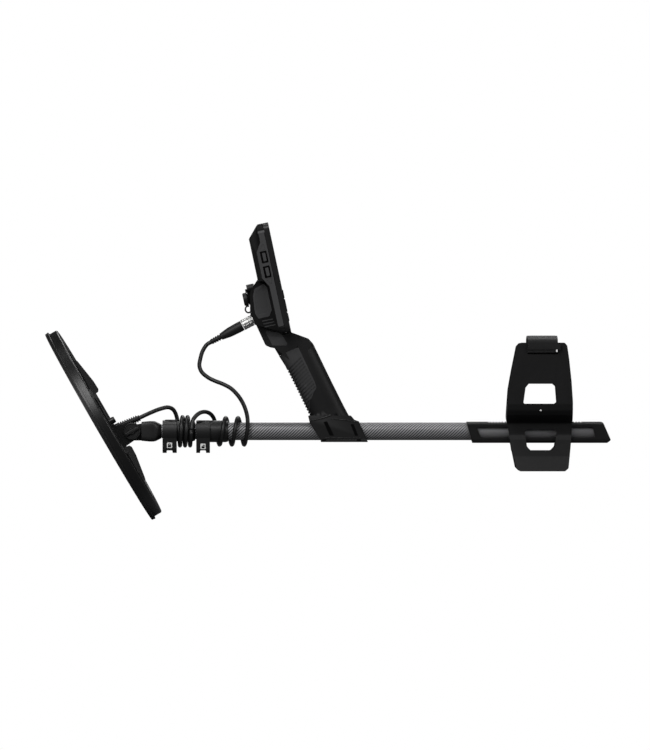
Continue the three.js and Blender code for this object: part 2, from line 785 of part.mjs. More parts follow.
function makePodRear() {
  const cavity = podRearOutside(POD.wall);
  const opening = podSlab(POD.wall, -POD.bezel - 4, 0);
  const socketHole = join(rod(along(-14), along(8), 6.3), rod(along(-3.2), along(8), 7.9, 7.9, 24));
  const housing = cut(
    podRearOutside(0),
    cavity,
    opening,
    placeInto(socketHole, podFrame),
    rod([-60, 0, PHONE.z], [-30, 0, PHONE.z], PHONE.r + GAP),
    rod([-60, 0, TORCH.z], [-30, 0, TORCH.z], TORCH.r + 0.4),
    ...SIDE_BUTTONS.map((z) => block(-18.2, -10.6, -50, -36, z - 7.2, z + 7.2)),
    placeInto(cableDuct(), podFrame),
  );
  add(podFrame, "pod_rear_housing", PAINT.softBlack, housing);
  add(podFrame, "main_board", PAINT.board, block(-10.2, -8.6, -41, 41, 8, 140));
  add(podFrame, "battery_pack", PAINT.battery, block(-24.5, -11.2, -32, 32, 84, 128));
  SIDE_BUTTONS.forEach((z, i) => {
    const button = join(
      block(-17.9, -10.9, -46.6, -42, z - 6.9, z + 6.9),
      block(-19.6, -10.9, -43.4, -42, z - 7.4, z + 7.4),
    );
    add(podFrame, `side_button_${i + 1}`, PAINT.rubber, button);
  });
  const torch = rod([-46.6, 0, TORCH.z], [-32, 0, TORCH.z], TORCH.r);
  add(podFrame, "torch_lens", PAINT.glass, torch);
  const phoneSocket = cut(
    rod([PHONE.face - 5.4, 0, PHONE.z], [-36, 0, PHONE.z], PHONE.r),
    rod([-60, 0, PHONE.z], [-38, 0, PHONE.z], 2),
  );
  add(podFrame, "phone_socket", PAINT.nickel, phoneSocket);
  const cap = cut(
    rod([PHONE.face - 10, 0, PHONE.z], [PHONE.face - 3, 0, PHONE.z], PHONE.cap, PHONE.cap, 24),
    rod([PHONE.face - 6, 0, PHONE.z], [-40, 0, PHONE.z], PHONE.r + GAP, PHONE.r + GAP, 20),
  );
  add(podFrame, "phone_socket_cap", PAINT.rubber, cap);
}

// The coil socket, the plug's coupling nut and its strain relief, along one line.
function makeCoilPlug() {
  const socket = cut(
    join(
      rod(along(-12), along(-1.2), 6),
      rod(along(-2.9), along(-0.4), 7.6, 7.6, 24),
      rod(along(-1), along(6), 4.6, 4.6),
    ),
    rod(along(2), along(7), 3.2),
  );
  add(detector, "coil_socket", PAINT.nickel, socket);
  const nut = cut(rod(along(0), along(14.2), 7.2, 7.2, 24), rod(along(-1), along(15), 4.9, 4.9));
  add(detector, "coupling_nut", PAINT.nickel, nut);
  const boot = join(
    rod(along(6.4), along(15), 4.5),
    rod(along(14.5), along(32), 6.9, 6.6, 24),
    rod(along(31.9), along(46), 6.6, 4.4, 24),
    rod(along(45.9), along(62), 4.3, 3.7),
  );
  add(detector, "plug_boot", PAINT.rubber, boot);
}

// ---------------------------------------------------------------- rear shell and armrest
const SHELL = { top: 12.9, bottom: -15.4, half: 15.4 };

function makeRearShell() {
  const outline = [
    [452.4, SHELL.bottom],
    [631.6, SHELL.bottom],
    [636.4, -11.6],
    [626.5, 11],
    [624, SHELL.top],
    [444.2, SHELL.top],
  ];
  const window = [
    [464, -8.1],
    [615.6, -8.1],
    [612, 5.6],
    [458.4, 5.6],
  ];
  const shell = cut(
    plateY(outline, -SHELL.half, SHELL.half),
    rodX(400, UPPER.rear + GAP, UPPER.r + SLIDE),
    plateY(window, -20, 20),
  );
  add(detector, "rear_shell", PAINT.blackPlastic, shell);
}

// The armrest's section across the shaft: two wings, a floor over the shell, and two legs.
const SECTION_OUTER = [
  [50.5, 118],
  [48.4, 36],
  [46.4, 28],
  [40.5, 21.4],
  [32, 17],
  [19.2, 11.4],
  [19.2, -5],
  [22.4, -11],
  [37.4, -33],
  [47.4, -52.8],
];
const SECTION_LEG_INSIDE = [
  [43.8, -52.8],
  [34.4, -34.6],
  [19.6, -12.8],
  [16, -6],
  [16, 14.9],
];
const SECTION_CUP = [
  [20, 18],
  [34, 22.4],
  [41, 28],
  [44.4, 36],
  [47.3, 118],
];

function armrestSection() {
  const flip = (points) => points.map(([y, z]) => [-y, z]).reverse();
  return [
    ...SECTION_OUTER,
    ...SECTION_LEG_INSIDE,
    ...flip(SECTION_LEG_INSIDE),
    ...flip(SECTION_OUTER),
    ...flip(SECTION_CUP),
    ...SECTION_CUP,
  ];
}

const ARMREST_SIDE = [
  [515.5, 117.8],
  [511.3, 113.3],
  [504.5, 80],
  [500.2, 56],
  [498.4, 32],
  [497.4, 19],
  [498.6, 9],
  [502.9, -15.7],
  [509.9, -47.9],
  [514.8, -52.8],
  [574.9, -52.8],
  [579.4, -48.7],
  [582.7, -18.5],
  [585.2, 15],
  [585.1, 39.5],
  [583.3, 66.6],
  [580, 97],
  [577.5, 114],
  [574, 117.8],
];
const WINDOW_UPPER = [
  [521.5, 36.6],
  [562.4, 36.6],
  [565.1, 38.6],
  [563.5, 59.9],
  [559.7, 63.2],
  [526.5, 63.2],
  [522.3, 58.1],
  [519.5, 37.9],
];
const WINDOW_LOWER = [
  [529.5, -25.3],
  [556.9, -25.3],
  [561.6, -20],
  [564.5, -0.4],
  [561, 3.2],
  [526, 3.4],
  [521.9, -0.4],
  [524.7, -20],
];
const STRAP = { x0: 525, x1: 565, slotLow: 102.6, slotHigh: 107.4, thick: 1.6 };
const THUMB = { x: 512.6, r: 2.6 };
const RIVET = { x: 542.5, z: 28.1, r: 1.5 };

function makeArmrest() {
  const bridge = plateY(
    [
      [504.6, -26],
      [520.6, -26],
      [520.6, -18.6],
      [503.4, -18.6],
    ],
    -28,
    28,
  );
  const between = plateX(
    [
      [-26.4, -26],
      [26.4, -26],
      [23.6, -18.6],
      [-23.6, -18.6],
    ],
    490,
    600,
  );
  const cuff = cut(
    join(
      plateX(armrestSection(), 490, 600).intersect(plateY(ARMREST_SIDE, -THROUGH, THROUGH)),
      bridge.intersect(between),
    ),
    plateY(WINDOW_UPPER, -THROUGH, THROUGH),
    plateY(WINDOW_LOWER, -THROUGH, THROUGH),
    block(STRAP.x0 - 0.8, STRAP.x1 + 0.8, -THROUGH, THROUGH, STRAP.slotLow, STRAP.slotHigh),
    rod([RIVET.x, -THROUGH, RIVET.z], [RIVET.x, THROUGH, RIVET.z], RIVET.r, RIVET.r, 12),
    rod([THUMB.x, 0, -60], [THUMB.x, 0, -10], THUMB.r + GAP, THUMB.r + GAP, 16),
  );
  add(detector, "armrest_cuff", PAINT.blackPlastic, cuff);

  const lobes = 10;
  const head = Array.from({ length: 2 * lobes }, (_, i) => {
    const a = (Math.PI * i) / lobes;
    const r = i % 2 ? 6.6 : 7.4;
    return [THUMB.x + r * Math.cos(a), r * Math.sin(a)];
  });
  const screw = join(
    plateZ(head, -34.6, -26.4),
    rod([THUMB.x, 0, -27], [THUMB.x, 0, -18.2], THUMB.r, THUMB.r, 16),
  );
  add(detector, "armrest_thumb_screw", PAINT.softBlack, screw);
  const pad = rod([THUMB.x, 0, -17.9], [THUMB.x, 0, SHELL.bottom - GAP], 6, 6, 20);
  add(detector, "armrest_clamp_pad", PAINT.rubber, pad);
  makeStrap();
}

// The strap comes out through each wing's slot, over its top edge and across the arm.
function makeStrap() {
  const half = [
    [44.2, 94],
    [44.6, 103.4],
    [46, 105],
    [52.2, 105.4],
    [53, 108],
    [53.2, 116],
    [51.6, 120],
    [46, 122.4],
    [30, 125],
    [12, 126.4],
  ];
  const points = [...half.map(([y, z]) => [-y, z]), ...half.reverse()];
  const line = points.map(([y, z]) => new THREE.Vector2(y, z));
  const side = line.map((p, i) => {
    const a = line[Math.max(i - 1, 0)];
    const b = line[Math.min(i + 1, line.length - 1)];
    return b.clone().sub(a).normalize().rotateAround(new THREE.Vector2(), Math.PI / 2);
  });
  const offset = (sign) => line.map((p, i) => p.clone().addScaledVector(side[i], (sign * STRAP.thick) / 2));
  const outline = [...offset(-1), ...offset(1).reverse()].map((p) => [p.x, p.y]);
  add(detector, "arm_strap", PAINT.webbing, plateX(outline, STRAP.x0, STRAP.x1));
}

// ---------------------------------------------------------------- coil cable
const cableBoot = (grow) => rod([-25.2 - grow, 0, 3.8], [10.2, 0, 17.8], 4.6 + grow, 4.2 + grow);

// Its route, as points in the detector's frame. The stretches that aren't wound are chosen by hand.
const ARCH = [
  [10.6, 0, 18.2],
  [18.5, 0.6, 22],
  [26.5, 2.2, 25.6],
  [35.5, 5, 29.2],
  [43.5, 8.6, 31.5],
  [49.5, 12, 31.6],
  [54.6, 15.4, 28.6],
  [57.8, 17.8, 23],
  [59.8, 18.9, 16],
  [61.6, WRAP_R, 8],
];
const BRIDGE = [
  [79.6, -16.6, 8.4],
  [80.8, -14.4, 13.4],
  [83.2, -11.4, 18.2],
  [87.4, -8, 22.6],
  [92.6, -4, 25.4],
  [98.4, 1, 25.8],
  [103.8, 6, 23.4],
  [107.6, 10.6, 19],
  [109.8, 14.2, 13.4],
  [111.2, 16.6, 7.2],
];
const RISER = [
  [153.4, -WRAP_UPPER_R, 1.4],
  [154, -17.6, 11.8],
  [152.8, -17, 22.6],
  [148.8, -16.2, 34.8],
  [142, -15, 46.4],
  [132.4, -13, 56.5],
  [121.6, -10.6, 62.6],
  [110.7, -8.4, 66.9],
  [101.2, -6.4, 71.6],
  [92.8, -4.6, 78.8],
  [89.6, -3, 87.2],
  [90.8, -1.8, 96.4],
  [93.2, -1, 105],
  [96.6, -0.4, 111.6],
  [100.4, 0, 116],
  [104.4, 0, 118.4],
];

function cord(points, steps) {
  const curve = new THREE.CatmullRomCurve3(points.map((p) => new THREE.Vector3(...p)));
  const section = shapeOf(oval(CABLE_R, CABLE_R, 2, 8));
  return solid(new THREE.ExtrudeGeometry(section, { steps, extrudePath: curve, bevelEnabled: false }));
}

// Where the arch and the bridge meet the wound turns.
const turnEnds = () => join(block(50, 66, 12, 30, 0, 30), block(76, 90, -30, -5, 2, 30));

function makeCable() {
  add(coilFrame, "coil_cable_boot", PAINT.rubber, placeInto(cableBoot(0), coilFrame));
  add(detector, "cable_arch", PAINT.rubber, cord(ARCH, 14));
  const turns = (x0, x1, middle) => ringX(x0, x1, middle + CABLE_R, middle - CABLE_R);
  add(detector, "cable_wraps_middle", PAINT.rubber, cut(turns(60.6, 81, WRAP_R), turnEnds()));
  add(detector, "cable_bridge", PAINT.rubber, cord(BRIDGE, 14));
  const bridgeEnd = block(108, 115, 8, 30, 2, 30);
  add(detector, "cable_wraps_upper", PAINT.rubber, cut(turns(112.2, 150.2, WRAP_UPPER_R), bridgeEnd));
  add(detector, "cable_riser", PAINT.rubber, cord(RISER, 28));
}

// ---------------------------------------------------------------- the detector
makeCoil();
makeTiltBolt();
makeLowerShaft();
makeMiddleShaft();
makeUpperShaft();
makeHandle();
makePodFront();
makePodRear();
makeCoilPlug();
makeRearShell();
makeArmrest();
makeCable();

// Stand it on the coil's rim and on the armrest's feet, with the box's bottom centre at the origin.
const rim = new THREE.Vector3(COIL.centre + SKID.r, 0, COIL.top - SKID.depth + 1);
rim.applyAxisAngle(new THREE.Vector3(0, 1, 0), COIL_ANGLE);
const foot = new THREE.Vector3(574.9, 0, -52.8);
const stance = Math.atan2(foot.z - rim.z, foot.x - rim.x);
detector.rotation.y = stance;
detector.updateMatrixWorld(true);
const whole = new THREE.Box3().setFromObject(detector, true);
detector.position.set(-(whole.min.x + whole.max.x) / 2, -(whole.min.y + whole.max.y) / 2, -whole.min.z);
const part = new THREE.Group();
part.add(detector);

export default part;
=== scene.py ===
"""The collapsible metal detector's looks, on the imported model's frame.

Shapes are drawn in millimetres in the shaft's own frame (X back along the shaft from the coil's
tilt axis, Y across, Z up), or in the coil's, grip's or pod's frame inside it, and moved to the
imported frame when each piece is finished.
"""

import json
import math

import bmesh
import bpy
from mathutils import Matrix, Vector


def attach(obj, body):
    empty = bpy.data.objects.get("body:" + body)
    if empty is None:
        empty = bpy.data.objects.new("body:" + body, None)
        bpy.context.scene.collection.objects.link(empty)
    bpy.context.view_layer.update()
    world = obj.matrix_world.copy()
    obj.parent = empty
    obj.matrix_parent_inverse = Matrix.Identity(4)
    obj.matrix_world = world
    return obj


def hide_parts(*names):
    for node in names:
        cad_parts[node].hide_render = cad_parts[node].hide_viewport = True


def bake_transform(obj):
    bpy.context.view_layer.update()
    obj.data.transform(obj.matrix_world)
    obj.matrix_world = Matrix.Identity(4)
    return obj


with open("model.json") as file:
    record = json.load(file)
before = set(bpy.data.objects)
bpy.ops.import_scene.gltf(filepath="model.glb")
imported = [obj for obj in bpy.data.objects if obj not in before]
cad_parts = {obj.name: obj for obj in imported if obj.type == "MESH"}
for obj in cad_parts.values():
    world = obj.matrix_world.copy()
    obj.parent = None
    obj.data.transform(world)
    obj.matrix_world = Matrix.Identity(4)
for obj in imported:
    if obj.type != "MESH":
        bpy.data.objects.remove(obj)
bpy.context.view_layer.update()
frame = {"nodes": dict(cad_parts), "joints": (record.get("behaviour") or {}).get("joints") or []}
scene = bpy.context.scene

MM = 0.001


def joint(name):
    return next(j for j in frame["joints"] if j["name"] == name)


# ------------------------------------------------------------------ frames
FORWARDS = Vector(joint("lower_shaft_slide")["axis"])
STANCE = math.atan2(FORWARDS.z, -FORWARDS.x)
TILT_AXIS = Vector(joint("coil_tilt")["pos_m"])
SHAFT = Matrix.Translation(TILT_AXIS) @ Matrix.Rotation(STANCE, 4, "Y") @ Matrix.Scale(MM, 4)
COIL = SHAFT @ Matrix.Rotation(math.radians(60), 4, "Y")
GRIP_LEAN = math.radians(-26.1)
GRIP = SHAFT @ Matrix.Translation((272.3, 0, 0)) @ Matrix.Rotation(GRIP_LEAN, 4, "Y")
POD_AT = (211.7, 0, 132.2)
POD = SHAFT @ Matrix.Translation(POD_AT) @ Matrix.Rotation(math.radians(-12), 4, "Y")

UPPER_R, MIDDLE_R, LOWER_R = 11.75, 10.5, 9.25
CABLE_R = 2.75
BORE_GAP = 0.25


# ------------------------------------------------------------------ shapes
NEARLY_STRAIGHT = math.radians(88)
SIDES = ((-1, "near"), (1, "far"))


def rounded(points, radius=0, steps=5):
    """The outline with each corner turned into an arc; a point's third number is its own radius."""
    out = []
    for i, (x, y, *own) in enumerate(points):
        r = own[0] if own else radius
        corner = Vector((x, y))
        before = (Vector(points[i - 1][:2]) - corner).normalized()
        after = (Vector(points[(i + 1) % len(points)][:2]) - corner).normalized()
        half = before.angle(after) / 2
        if r <= 0 or half > NEARLY_STRAIGHT:
            out.append((x, y))
            continue
        reach = r / math.tan(half)
        middle = corner + (before + after).normalized() * (r / math.sin(half))
        start = corner + before * reach - middle
        end = corner + after * reach - middle
        turn = math.atan2(start.x * end.y - start.y * end.x, start.dot(end))
        for k in range(steps + 1):
            a = turn * k / steps
            c, s = math.cos(a), math.sin(a)
            out.append((middle.x + start.x * c - start.y * s, middle.y + start.x * s + start.y * c))
    return out


def rect(x0, x1, z0, z1, corner=0, steps=5):
    return rounded([(x0, z0), (x1, z0), (x1, z1), (x0, z1)], corner, steps)


def solid(vertices, faces):
    mesh = bpy.data.meshes.new("shape")
    bm = bmesh.new()
    made = [bm.verts.new(v) for v in vertices]
    for face in faces:
        bm.faces.new([made[i] for i in face])
    bmesh.ops.recalc_face_normals(bm, faces=bm.faces)
    bm.to_mesh(mesh)
    bm.free()
    obj = bpy.data.objects.new("shape", mesh)
    scene.collection.objects.link(obj)
    return obj


PLANES = {
    "XZ": lambda a, b, t: (a, t, b),
    "YZ": lambda a, b, t: (t, a, b),
    "XY": lambda a, b, t: (a, b, t),
}


def prism(outline, low, high, plane="XZ"):
    put = PLANES[plane]
    n = len(outline)
    vertices = [put(a, b, t) for t in (low, high) for a, b in outline]
    sides = [(i, (i + 1) % n, n + (i + 1) % n, n + i) for i in range(n)]
    return solid(vertices, [tuple(range(n)), tuple(range(n, 2 * n))] + sides)


def block(x0, x1, y0, y1, z0, z1):
    return prism(rect(x0, x1, z0, z1), y0, y1)


def lathe(profile, start=(0, 0, 0), along=(1, 0, 0), sides=64, closed=False):
    """The profile's (distance, radius) points turned round the line from start."""
    axis = Vector(along).normalized()
    across = axis.orthogonal().normalized()
    other = axis.cross(across)
    vertices = []
    rings = []
    for distance, radius in profile:
        centre = Vector(start) + axis * distance
        if radius < 1e-6:
            rings.append([len(vertices)] * sides)
            vertices.append(centre)
            continue
        rings.append(list(range(len(vertices), len(vertices) + sides)))
        for k in range(sides):
            a = 2 * math.pi * k / sides
            vertices.append(centre + (across * math.cos(a) + other * math.sin(a)) * radius)
    faces = []
    pairs = list(zip(rings, rings[1:])) + ([(rings[-1], rings[0])] if closed else [])
    for a, b in pairs:
        for k in range(sides):
            n = (k + 1) % sides
            face = dict.fromkeys([a[k], a[n], b[n], b[k]])
            if len(face) > 2:
                faces.append(tuple(face))
    if not closed:
        faces += [tuple(ring) for ring in (rings[0], rings[-1]) if ring[0] != ring[1]]
    return solid(vertices, faces)


def rod(start, end, r0, r1=None, sides=48):
    line = Vector(end) - Vector(start)
    return lathe([(0, r0), (line.length, r0 if r1 is None else r1)], start, line, sides)


def shaft_bore(x0, x1, radius):
    """A tool that cuts the clearance hole for a tube of the radius."""
    return rod((x0, 0, 0), (x1, 0, 0), radius + BORE_GAP, sides=96)


def lofted(rings):
    n = len(rings[0])
    faces = [tuple(range(n)), tuple(range(n * (len(rings) - 1), n * len(rings)))]
    for i in range(len(rings) - 1):
        for k in range(n):
            a, b = i * n + k, i * n + (k + 1) % n
            faces.append((a, b, b + n, a + n))
    return solid([p for ring in rings for p in ring], faces)


def oval(half_a, half_b, power, count, centre=0.0):
    points = []
    for i in range(count):
        t = 2 * math.pi * i / count
        c, s = math.cos(t), math.sin(t)
        a = math.copysign(abs(c) ** (2 / power), c)
        b = math.copysign(abs(s) ** (2 / power), s)
        points.append((centre + half_a * a, half_b * b))
    return points


def smooth_line(points, per_span=8):
    """A Catmull-Rom curve through the points."""
    p = [Vector(q) for q in points]
    p = [2 * p[0] - p[1]] + p + [2 * p[-1] - p[-2]]
    out = []
    for i in range(1, len(p) - 2):
        a, b, c, d = p[i - 1], p[i], p[i + 1], p[i + 2]
        for k in range(per_span):
            t = k / per_span
            square = (2 * a - 5 * b + 4 * c - d) * t**2
            cube = (3 * b - a - 3 * c + d) * t**3
            out.append(0.5 * (2 * b + (c - a) * t + square + cube))
    return out + [p[-2]]


def sweep(line, radius, sides=16):
    """A round tube along the points."""
    rings = []
    across = None
    for i, point in enumerate(line):
        ahead = (line[min(i + 1, len(line) - 1)] - line[max(i - 1, 0)]).normalized()
        across = ahead.orthogonal() if across is None else across - ahead * across.dot(ahead)
        across.normalize()
        other = ahead.cross(across)
        ring = []
        for k in range(sides):
            a = 2 * math.pi * k / sides
            ring.append(point + (across * math.cos(a) + other * math.sin(a)) * radius)
        rings.append(ring)
    return lofted(rings)


def baked(obj):
    graph = bpy.context.evaluated_depsgraph_get()
    mesh = bpy.data.meshes.new_from_object(obj.evaluated_get(graph))
    obj.modifiers.clear()
    obj.data = mesh
    return obj


def combine(target, tools, operation):
    for tool in tools:
        m = target.modifiers.new("combine", "BOOLEAN")
        m.operation = operation
        m.solver = "EXACT"
        m.object = tool
    baked(target)
    for tool in tools:
        bpy.data.objects.remove(tool)
    return target


def cut(target, *tools):
    return combine(target, tools, "DIFFERENCE")


def join(target, *tools):
    return combine(target, tools, "UNION")


def common(target, *tools):
    return combine(target, tools, "INTERSECT")


def copy_of(obj):
    twin = obj.copy()
    twin.data = obj.data.copy()
    scene.collection.objects.link(twin)
    return twin


def moved(obj, matrix):
    obj.data.transform(matrix)
    return obj


def soften(obj, width, segments, limit):
    """Rounds the hard edges, then shades the piece smooth between the edges that stay hard."""
    if width:
        m = obj.modifiers.new("edges", "BEVEL")
        m.width = width
        m.segments = segments
        m.limit_method = "ANGLE"
        m.angle_limit = math.radians(limit)
        m.use_clamp_overlap = True
        m.miter_outer = "MITER_ARC"
        baked(obj)
    obj.data.shade_smooth()
    obj.data.set_sharp_from_angle(angle=math.radians(limit))
    obj.modifiers.new("normals", "WEIGHTED_NORMAL").keep_sharp = True
    return baked(obj)


# ------------------------------------------------------------------ materials
BUMP_DEPTH = 0.04 * MM


class Nodes:
    """A material's node tree, with short calls for the nodes used here."""

    def __init__(self, name):
        self.material = bpy.data.materials.new(name)
        self.material.use_nodes = True
        self.tree = self.material.node_tree
        self.shader = next(n for n in self.tree.nodes if n.type == "BSDF_PRINCIPLED")

    def node(self, kind, inputs=(), **settings):
        n = self.tree.nodes.new(kind)
        for key, value in settings.items():
            setattr(n, key, value)
        for key, value in dict(inputs).items():
            self.put(n.inputs[key], value)
        return n

    def put(self, socket, value):
        if isinstance(value, bpy.types.NodeSocket):
            self.tree.links.new(value, socket)
        else:
            socket.default_value = value

    def math(self, operation, a, b=0.0):
        return self.node("ShaderNodeMath", {0: a, 1: b}, operation=operation).outputs[0]

    def place(self, matrix):
        """Object coordinates in millimetres, in the frame of the matrix."""
        where = self.node("ShaderNodeTexCoord").outputs["Object"]
        inputs = {
            "Vector": where,
            "Location": matrix.to_translation(),
            "Rotation": matrix.to_euler(),
            "Scale": matrix.to_scale(),
        }
        return self.node("ShaderNodeMapping", inputs, vector_type="TEXTURE").outputs[0]

    def noise(self, vector, scale, detail=3.0, roughness=0.5):
        inputs = {"Vector": vector, "Scale": scale, "Detail": detail, "Roughness": roughness}
        return self.node("ShaderNodeTexNoise", inputs).outputs["Fac"]

    def mix(self, factor, a, b):
        n = self.node("ShaderNodeMix", data_type="RGBA")
        self.put(n.inputs[0], factor)
        self.put(n.inputs[6], a)
        self.put(n.inputs[7], b)
        return n.outputs[2]

    def span(self, value, low, high, to_low, to_high):
        inputs = {0: value, 1: low, 2: high, 3: to_low, 4: to_high}
        return self.node("ShaderNodeMapRange", inputs).outputs[0]

    def bump(self, height, strength):
        inputs = {"Height": height, "Strength": strength, "Distance": BUMP_DEPTH}
        return self.node("ShaderNodeBump", inputs).outputs[0]

    def finish(self, **sockets):
        for key, value in sockets.items():
            self.put(self.shader.inputs[key.replace("_", " ")], value)
        return self.material


def grey(value, alpha=1.0):
    return (value, value, value * 1.03, alpha)


def moulded(name, tone, roughness, grain, gloss=0.35, worn=0.25):
    """Moulded plastic: fine grain, uneven sheen, and edges polished by handling."""
    n = Nodes(name)
    where = n.place(SHAFT)
    fine = n.noise(where, 1.7, 2.0, 0.6)
    broad = n.noise(where, 0.045, 3.0)
    handled = n.noise(where, 0.16, 4.0, 0.65)
    edge = n.node("ShaderNodeNewGeometry").outputs["Pointiness"]
    edge = n.span(edge, 0.515, 0.6, 0.0, worn)
    colour = n.mix(broad, grey(tone * 0.92), grey(tone * 1.08))
    colour = n.mix(edge, colour, grey(tone * 1.9))
    rough = n.span(handled, 0.3, 0.7, roughness - 0.015, roughness + 0.025)
    normal = n.bump(fine, grain)
    return n.finish(
        Base_Color=colour, Roughness=rough, Specular_IOR_Level=gloss, Normal=normal
    )


def carbon(name):
    """A 2 by 2 twill of carbon tows laid along and round the tube, under clear lacquer."""
    n = Nodes(name)
    where = n.node("ShaderNodeSeparateXYZ", {0: n.place(SHAFT)})
    x, y, z = where.outputs
    tow = 1.02
    turn = n.math("MULTIPLY", n.math("ARCTAN2", y, z), UPPER_R / tow)
    along = n.math("DIVIDE", x, tow)
    step = n.math("SUBTRACT", n.math("FLOOR", along), n.math("FLOOR", turn))
    over = n.math("LESS_THAN", n.math("FLOORED_MODULO", step, 4.0), 2.0)
    fibre_a = n.math("ABSOLUTE", n.math("SUBTRACT", n.math("FRACT", turn), 0.5))
    fibre_b = n.math("ABSOLUTE", n.math("SUBTRACT", n.math("FRACT", along), 0.5))
    edge_a = n.math("MULTIPLY", fibre_a, over)
    edge_b = n.math("MULTIPLY", fibre_b, n.math("SUBTRACT", 1.0, over))
    edge = n.math("ADD", edge_a, edge_b)
    grain = n.noise(n.place(SHAFT), 1.4, 3.0, 0.6)
    light = n.mix(grain, grey(0.26), grey(0.5))
    dark = n.mix(grain, grey(0.02), grey(0.05))
    colour = n.mix(over, dark, light)
    colour = n.mix(n.span(edge, 0.3, 0.5, 0.0, 0.7), colour, grey(0.012))
    rough = n.span(over, 0.0, 1.0, 0.6, 0.45)
    normal = n.bump(n.math("SUBTRACT", 0.5, edge), 0.5)
    return n.finish(
        Base_Color=colour,
        Roughness=rough,
        Metallic=0.35,
        Specular_IOR_Level=0.3,
        Coat_Weight=0.06,
        Coat_Roughness=0.3,
        Normal=normal,
    )


def jacket(name, tone):
    """The cable's extruded jacket: a slight orange peel and dusty scuffs."""
    n = Nodes(name)
    where = n.place(SHAFT)
    peel = n.noise(where, 1.1, 3.0, 0.5)
    scuff = n.noise(where, 0.22, 5.0, 0.7)
    colour = n.mix(n.span(scuff, 0.55, 0.8, 0.0, 0.35), grey(tone), grey(tone * 2.4))
    rough = n.span(scuff, 0.3, 0.7, 0.34, 0.5)
    return n.finish(
        Base_Color=colour, Roughness=rough, Specular_IOR_Level=0.4, Normal=n.bump(peel, 0.15)
    )


def metal(name, colour, roughness, scratch):
    n = Nodes(name)
    where = n.place(SHAFT)
    streak = n.noise(where, 3.0, 4.0, 0.7)
    dull = n.noise(where, 0.3, 4.0)
    tone = n.mix(dull, (*[c * 0.8 for c in colour], 1), (*colour, 1))
    rough = n.span(dull, 0.3, 0.7, roughness - 0.06, roughness + 0.1)
    return n.finish(Base_Color=tone, Metallic=1.0, Roughness=rough, Normal=n.bump(streak, scratch))


def webbing_cloth(name):
    """Woven strap: ribs across it and yarns along it, from two waves, with loose fuzz."""
    n = Nodes(name)
    where = n.place(SHAFT)
    parts = n.node("ShaderNodeSeparateXYZ", {0: where})
    x = parts.outputs[0]
    along = n.math("ADD", parts.outputs[1], parts.outputs[2])
    rib = n.math("SINE", n.math("MULTIPLY", x, 5.2))
    yarn = n.math("SINE", n.math("MULTIPLY", along, 4.2))
    weave = n.math("MULTIPLY", rib, yarn)
    fuzz = n.noise(where, 2.2, 4.0, 0.7)
    tone = n.mix(n.span(weave, -1.0, 1.0, 0.0, 1.0), grey(0.004), grey(0.016))
    tone = n.mix(n.span(fuzz, 0.5, 0.8, 0.0, 0.4), tone, grey(0.03))
    height = n.math("ADD", n.math("MULTIPLY", weave, 0.5), fuzz)
    return n.finish(
        Base_Color=tone,
        Roughness=0.92,
        Specular_IOR_Level=0.2,
        Sheen_Weight=0.15,
        Normal=n.bump(height, 0.5),
    )


def display(name):
    """The unlit screen: a dark green-grey panel with a faint grid of cells under gloss."""
    n = Nodes(name)
    where = n.node("ShaderNodeSeparateXYZ", {0: n.place(POD)})
    cells = [n.math("FRACT", n.math("MULTIPLY", v, 1.6)) for v in where.outputs[1:3]]
    lines = n.math("MAXIMUM", *[n.math("GREATER_THAN", c, 0.86) for c in cells])
    colour = n.mix(lines, (0.016, 0.022, 0.02, 1), (0.009, 0.012, 0.011, 1))
    return n.finish(
        Base_Color=colour, Roughness=0.12, Specular_IOR_Level=0.5, Coat_Weight=0.6, Coat_Roughness=0.04
    )


def plain(name, colour, roughness, speckle=0.12):
    n = Nodes(name)
    where = n.place(SHAFT)
    patch = n.noise(where, 0.5, 4.0, 0.6)
    darker = (*[c * (1 - speckle) for c in colour], 1)
    rough = n.span(patch, 0.3, 0.7, roughness - 0.04, roughness + 0.06)
    tone = n.mix(patch, darker, (*colour, 1))
    return n.finish(Base_Color=tone, Roughness=rough, Normal=n.bump(n.noise(where, 2.0), 0.1))


LOOKS = {
    "black_plastic": moulded("black_plastic", 0.0045, 0.34, 0.12, 0.4),
    "soft_black": moulded("soft_black", 0.007, 0.44, 0.18, 0.35),
    "cuff_black": moulded("cuff_black", 0.006, 0.5, 0.12, 0.2),
    # A darker, duller copy of soft black for the pod's rear housing: painted shade.
    "painted_shade_black": moulded("painted_shade_black", 0.004, 0.6, 0.12, 0.12, 0.1),
    # A pale grey used only for the bar that paints a highlight on the pod's near side.
    "pale_panel": moulded("pale_panel", 0.08, 0.5, 0.12, 0.3),
    "panel_grey": moulded("panel_grey", 0.036, 0.55, 0.2, 0.3),
    "grip_rubber": moulded("grip_rubber", 0.036, 0.62, 0.25, 0.25, 0.0),
    "carbon_tube": carbon("carbon_tube"),
    "black_rubber": moulded("black_rubber", 0.007, 0.5, 0.2, 0.3, 0.1),
    "cable_jacket": jacket("cable_jacket", 0.005),
    "steel": metal("steel", (0.42, 0.43, 0.44), 0.34, 0.15),
    "nickel": metal("nickel", (0.5, 0.5, 0.49), 0.4, 0.1),
    "webbing": webbing_cloth("webbing"),
    "screen_glass": display("screen_glass"),
    "potted_winding": plain("potted_winding", (0.35, 0.15, 0.06), 0.5),
    "circuit_board": plain("circuit_board", (0.02, 0.12, 0.05), 0.4),
    "cell_pack": plain("cell_pack", (0.03, 0.12, 0.35), 0.4),
    "label_white": plain("label_white", (0.8, 0.8, 0.79), 0.45, 0.05),
    "deep_black": moulded("deep_black", 0.0015, 0.75, 0.1, 0.05, 0.0),
    # A pale grey for the torch lens: a painted reflection, not a clear lens.
    "lamp_clear": plain("lamp_clear", (0.55, 0.56, 0.55), 0.12, 0.05),
}


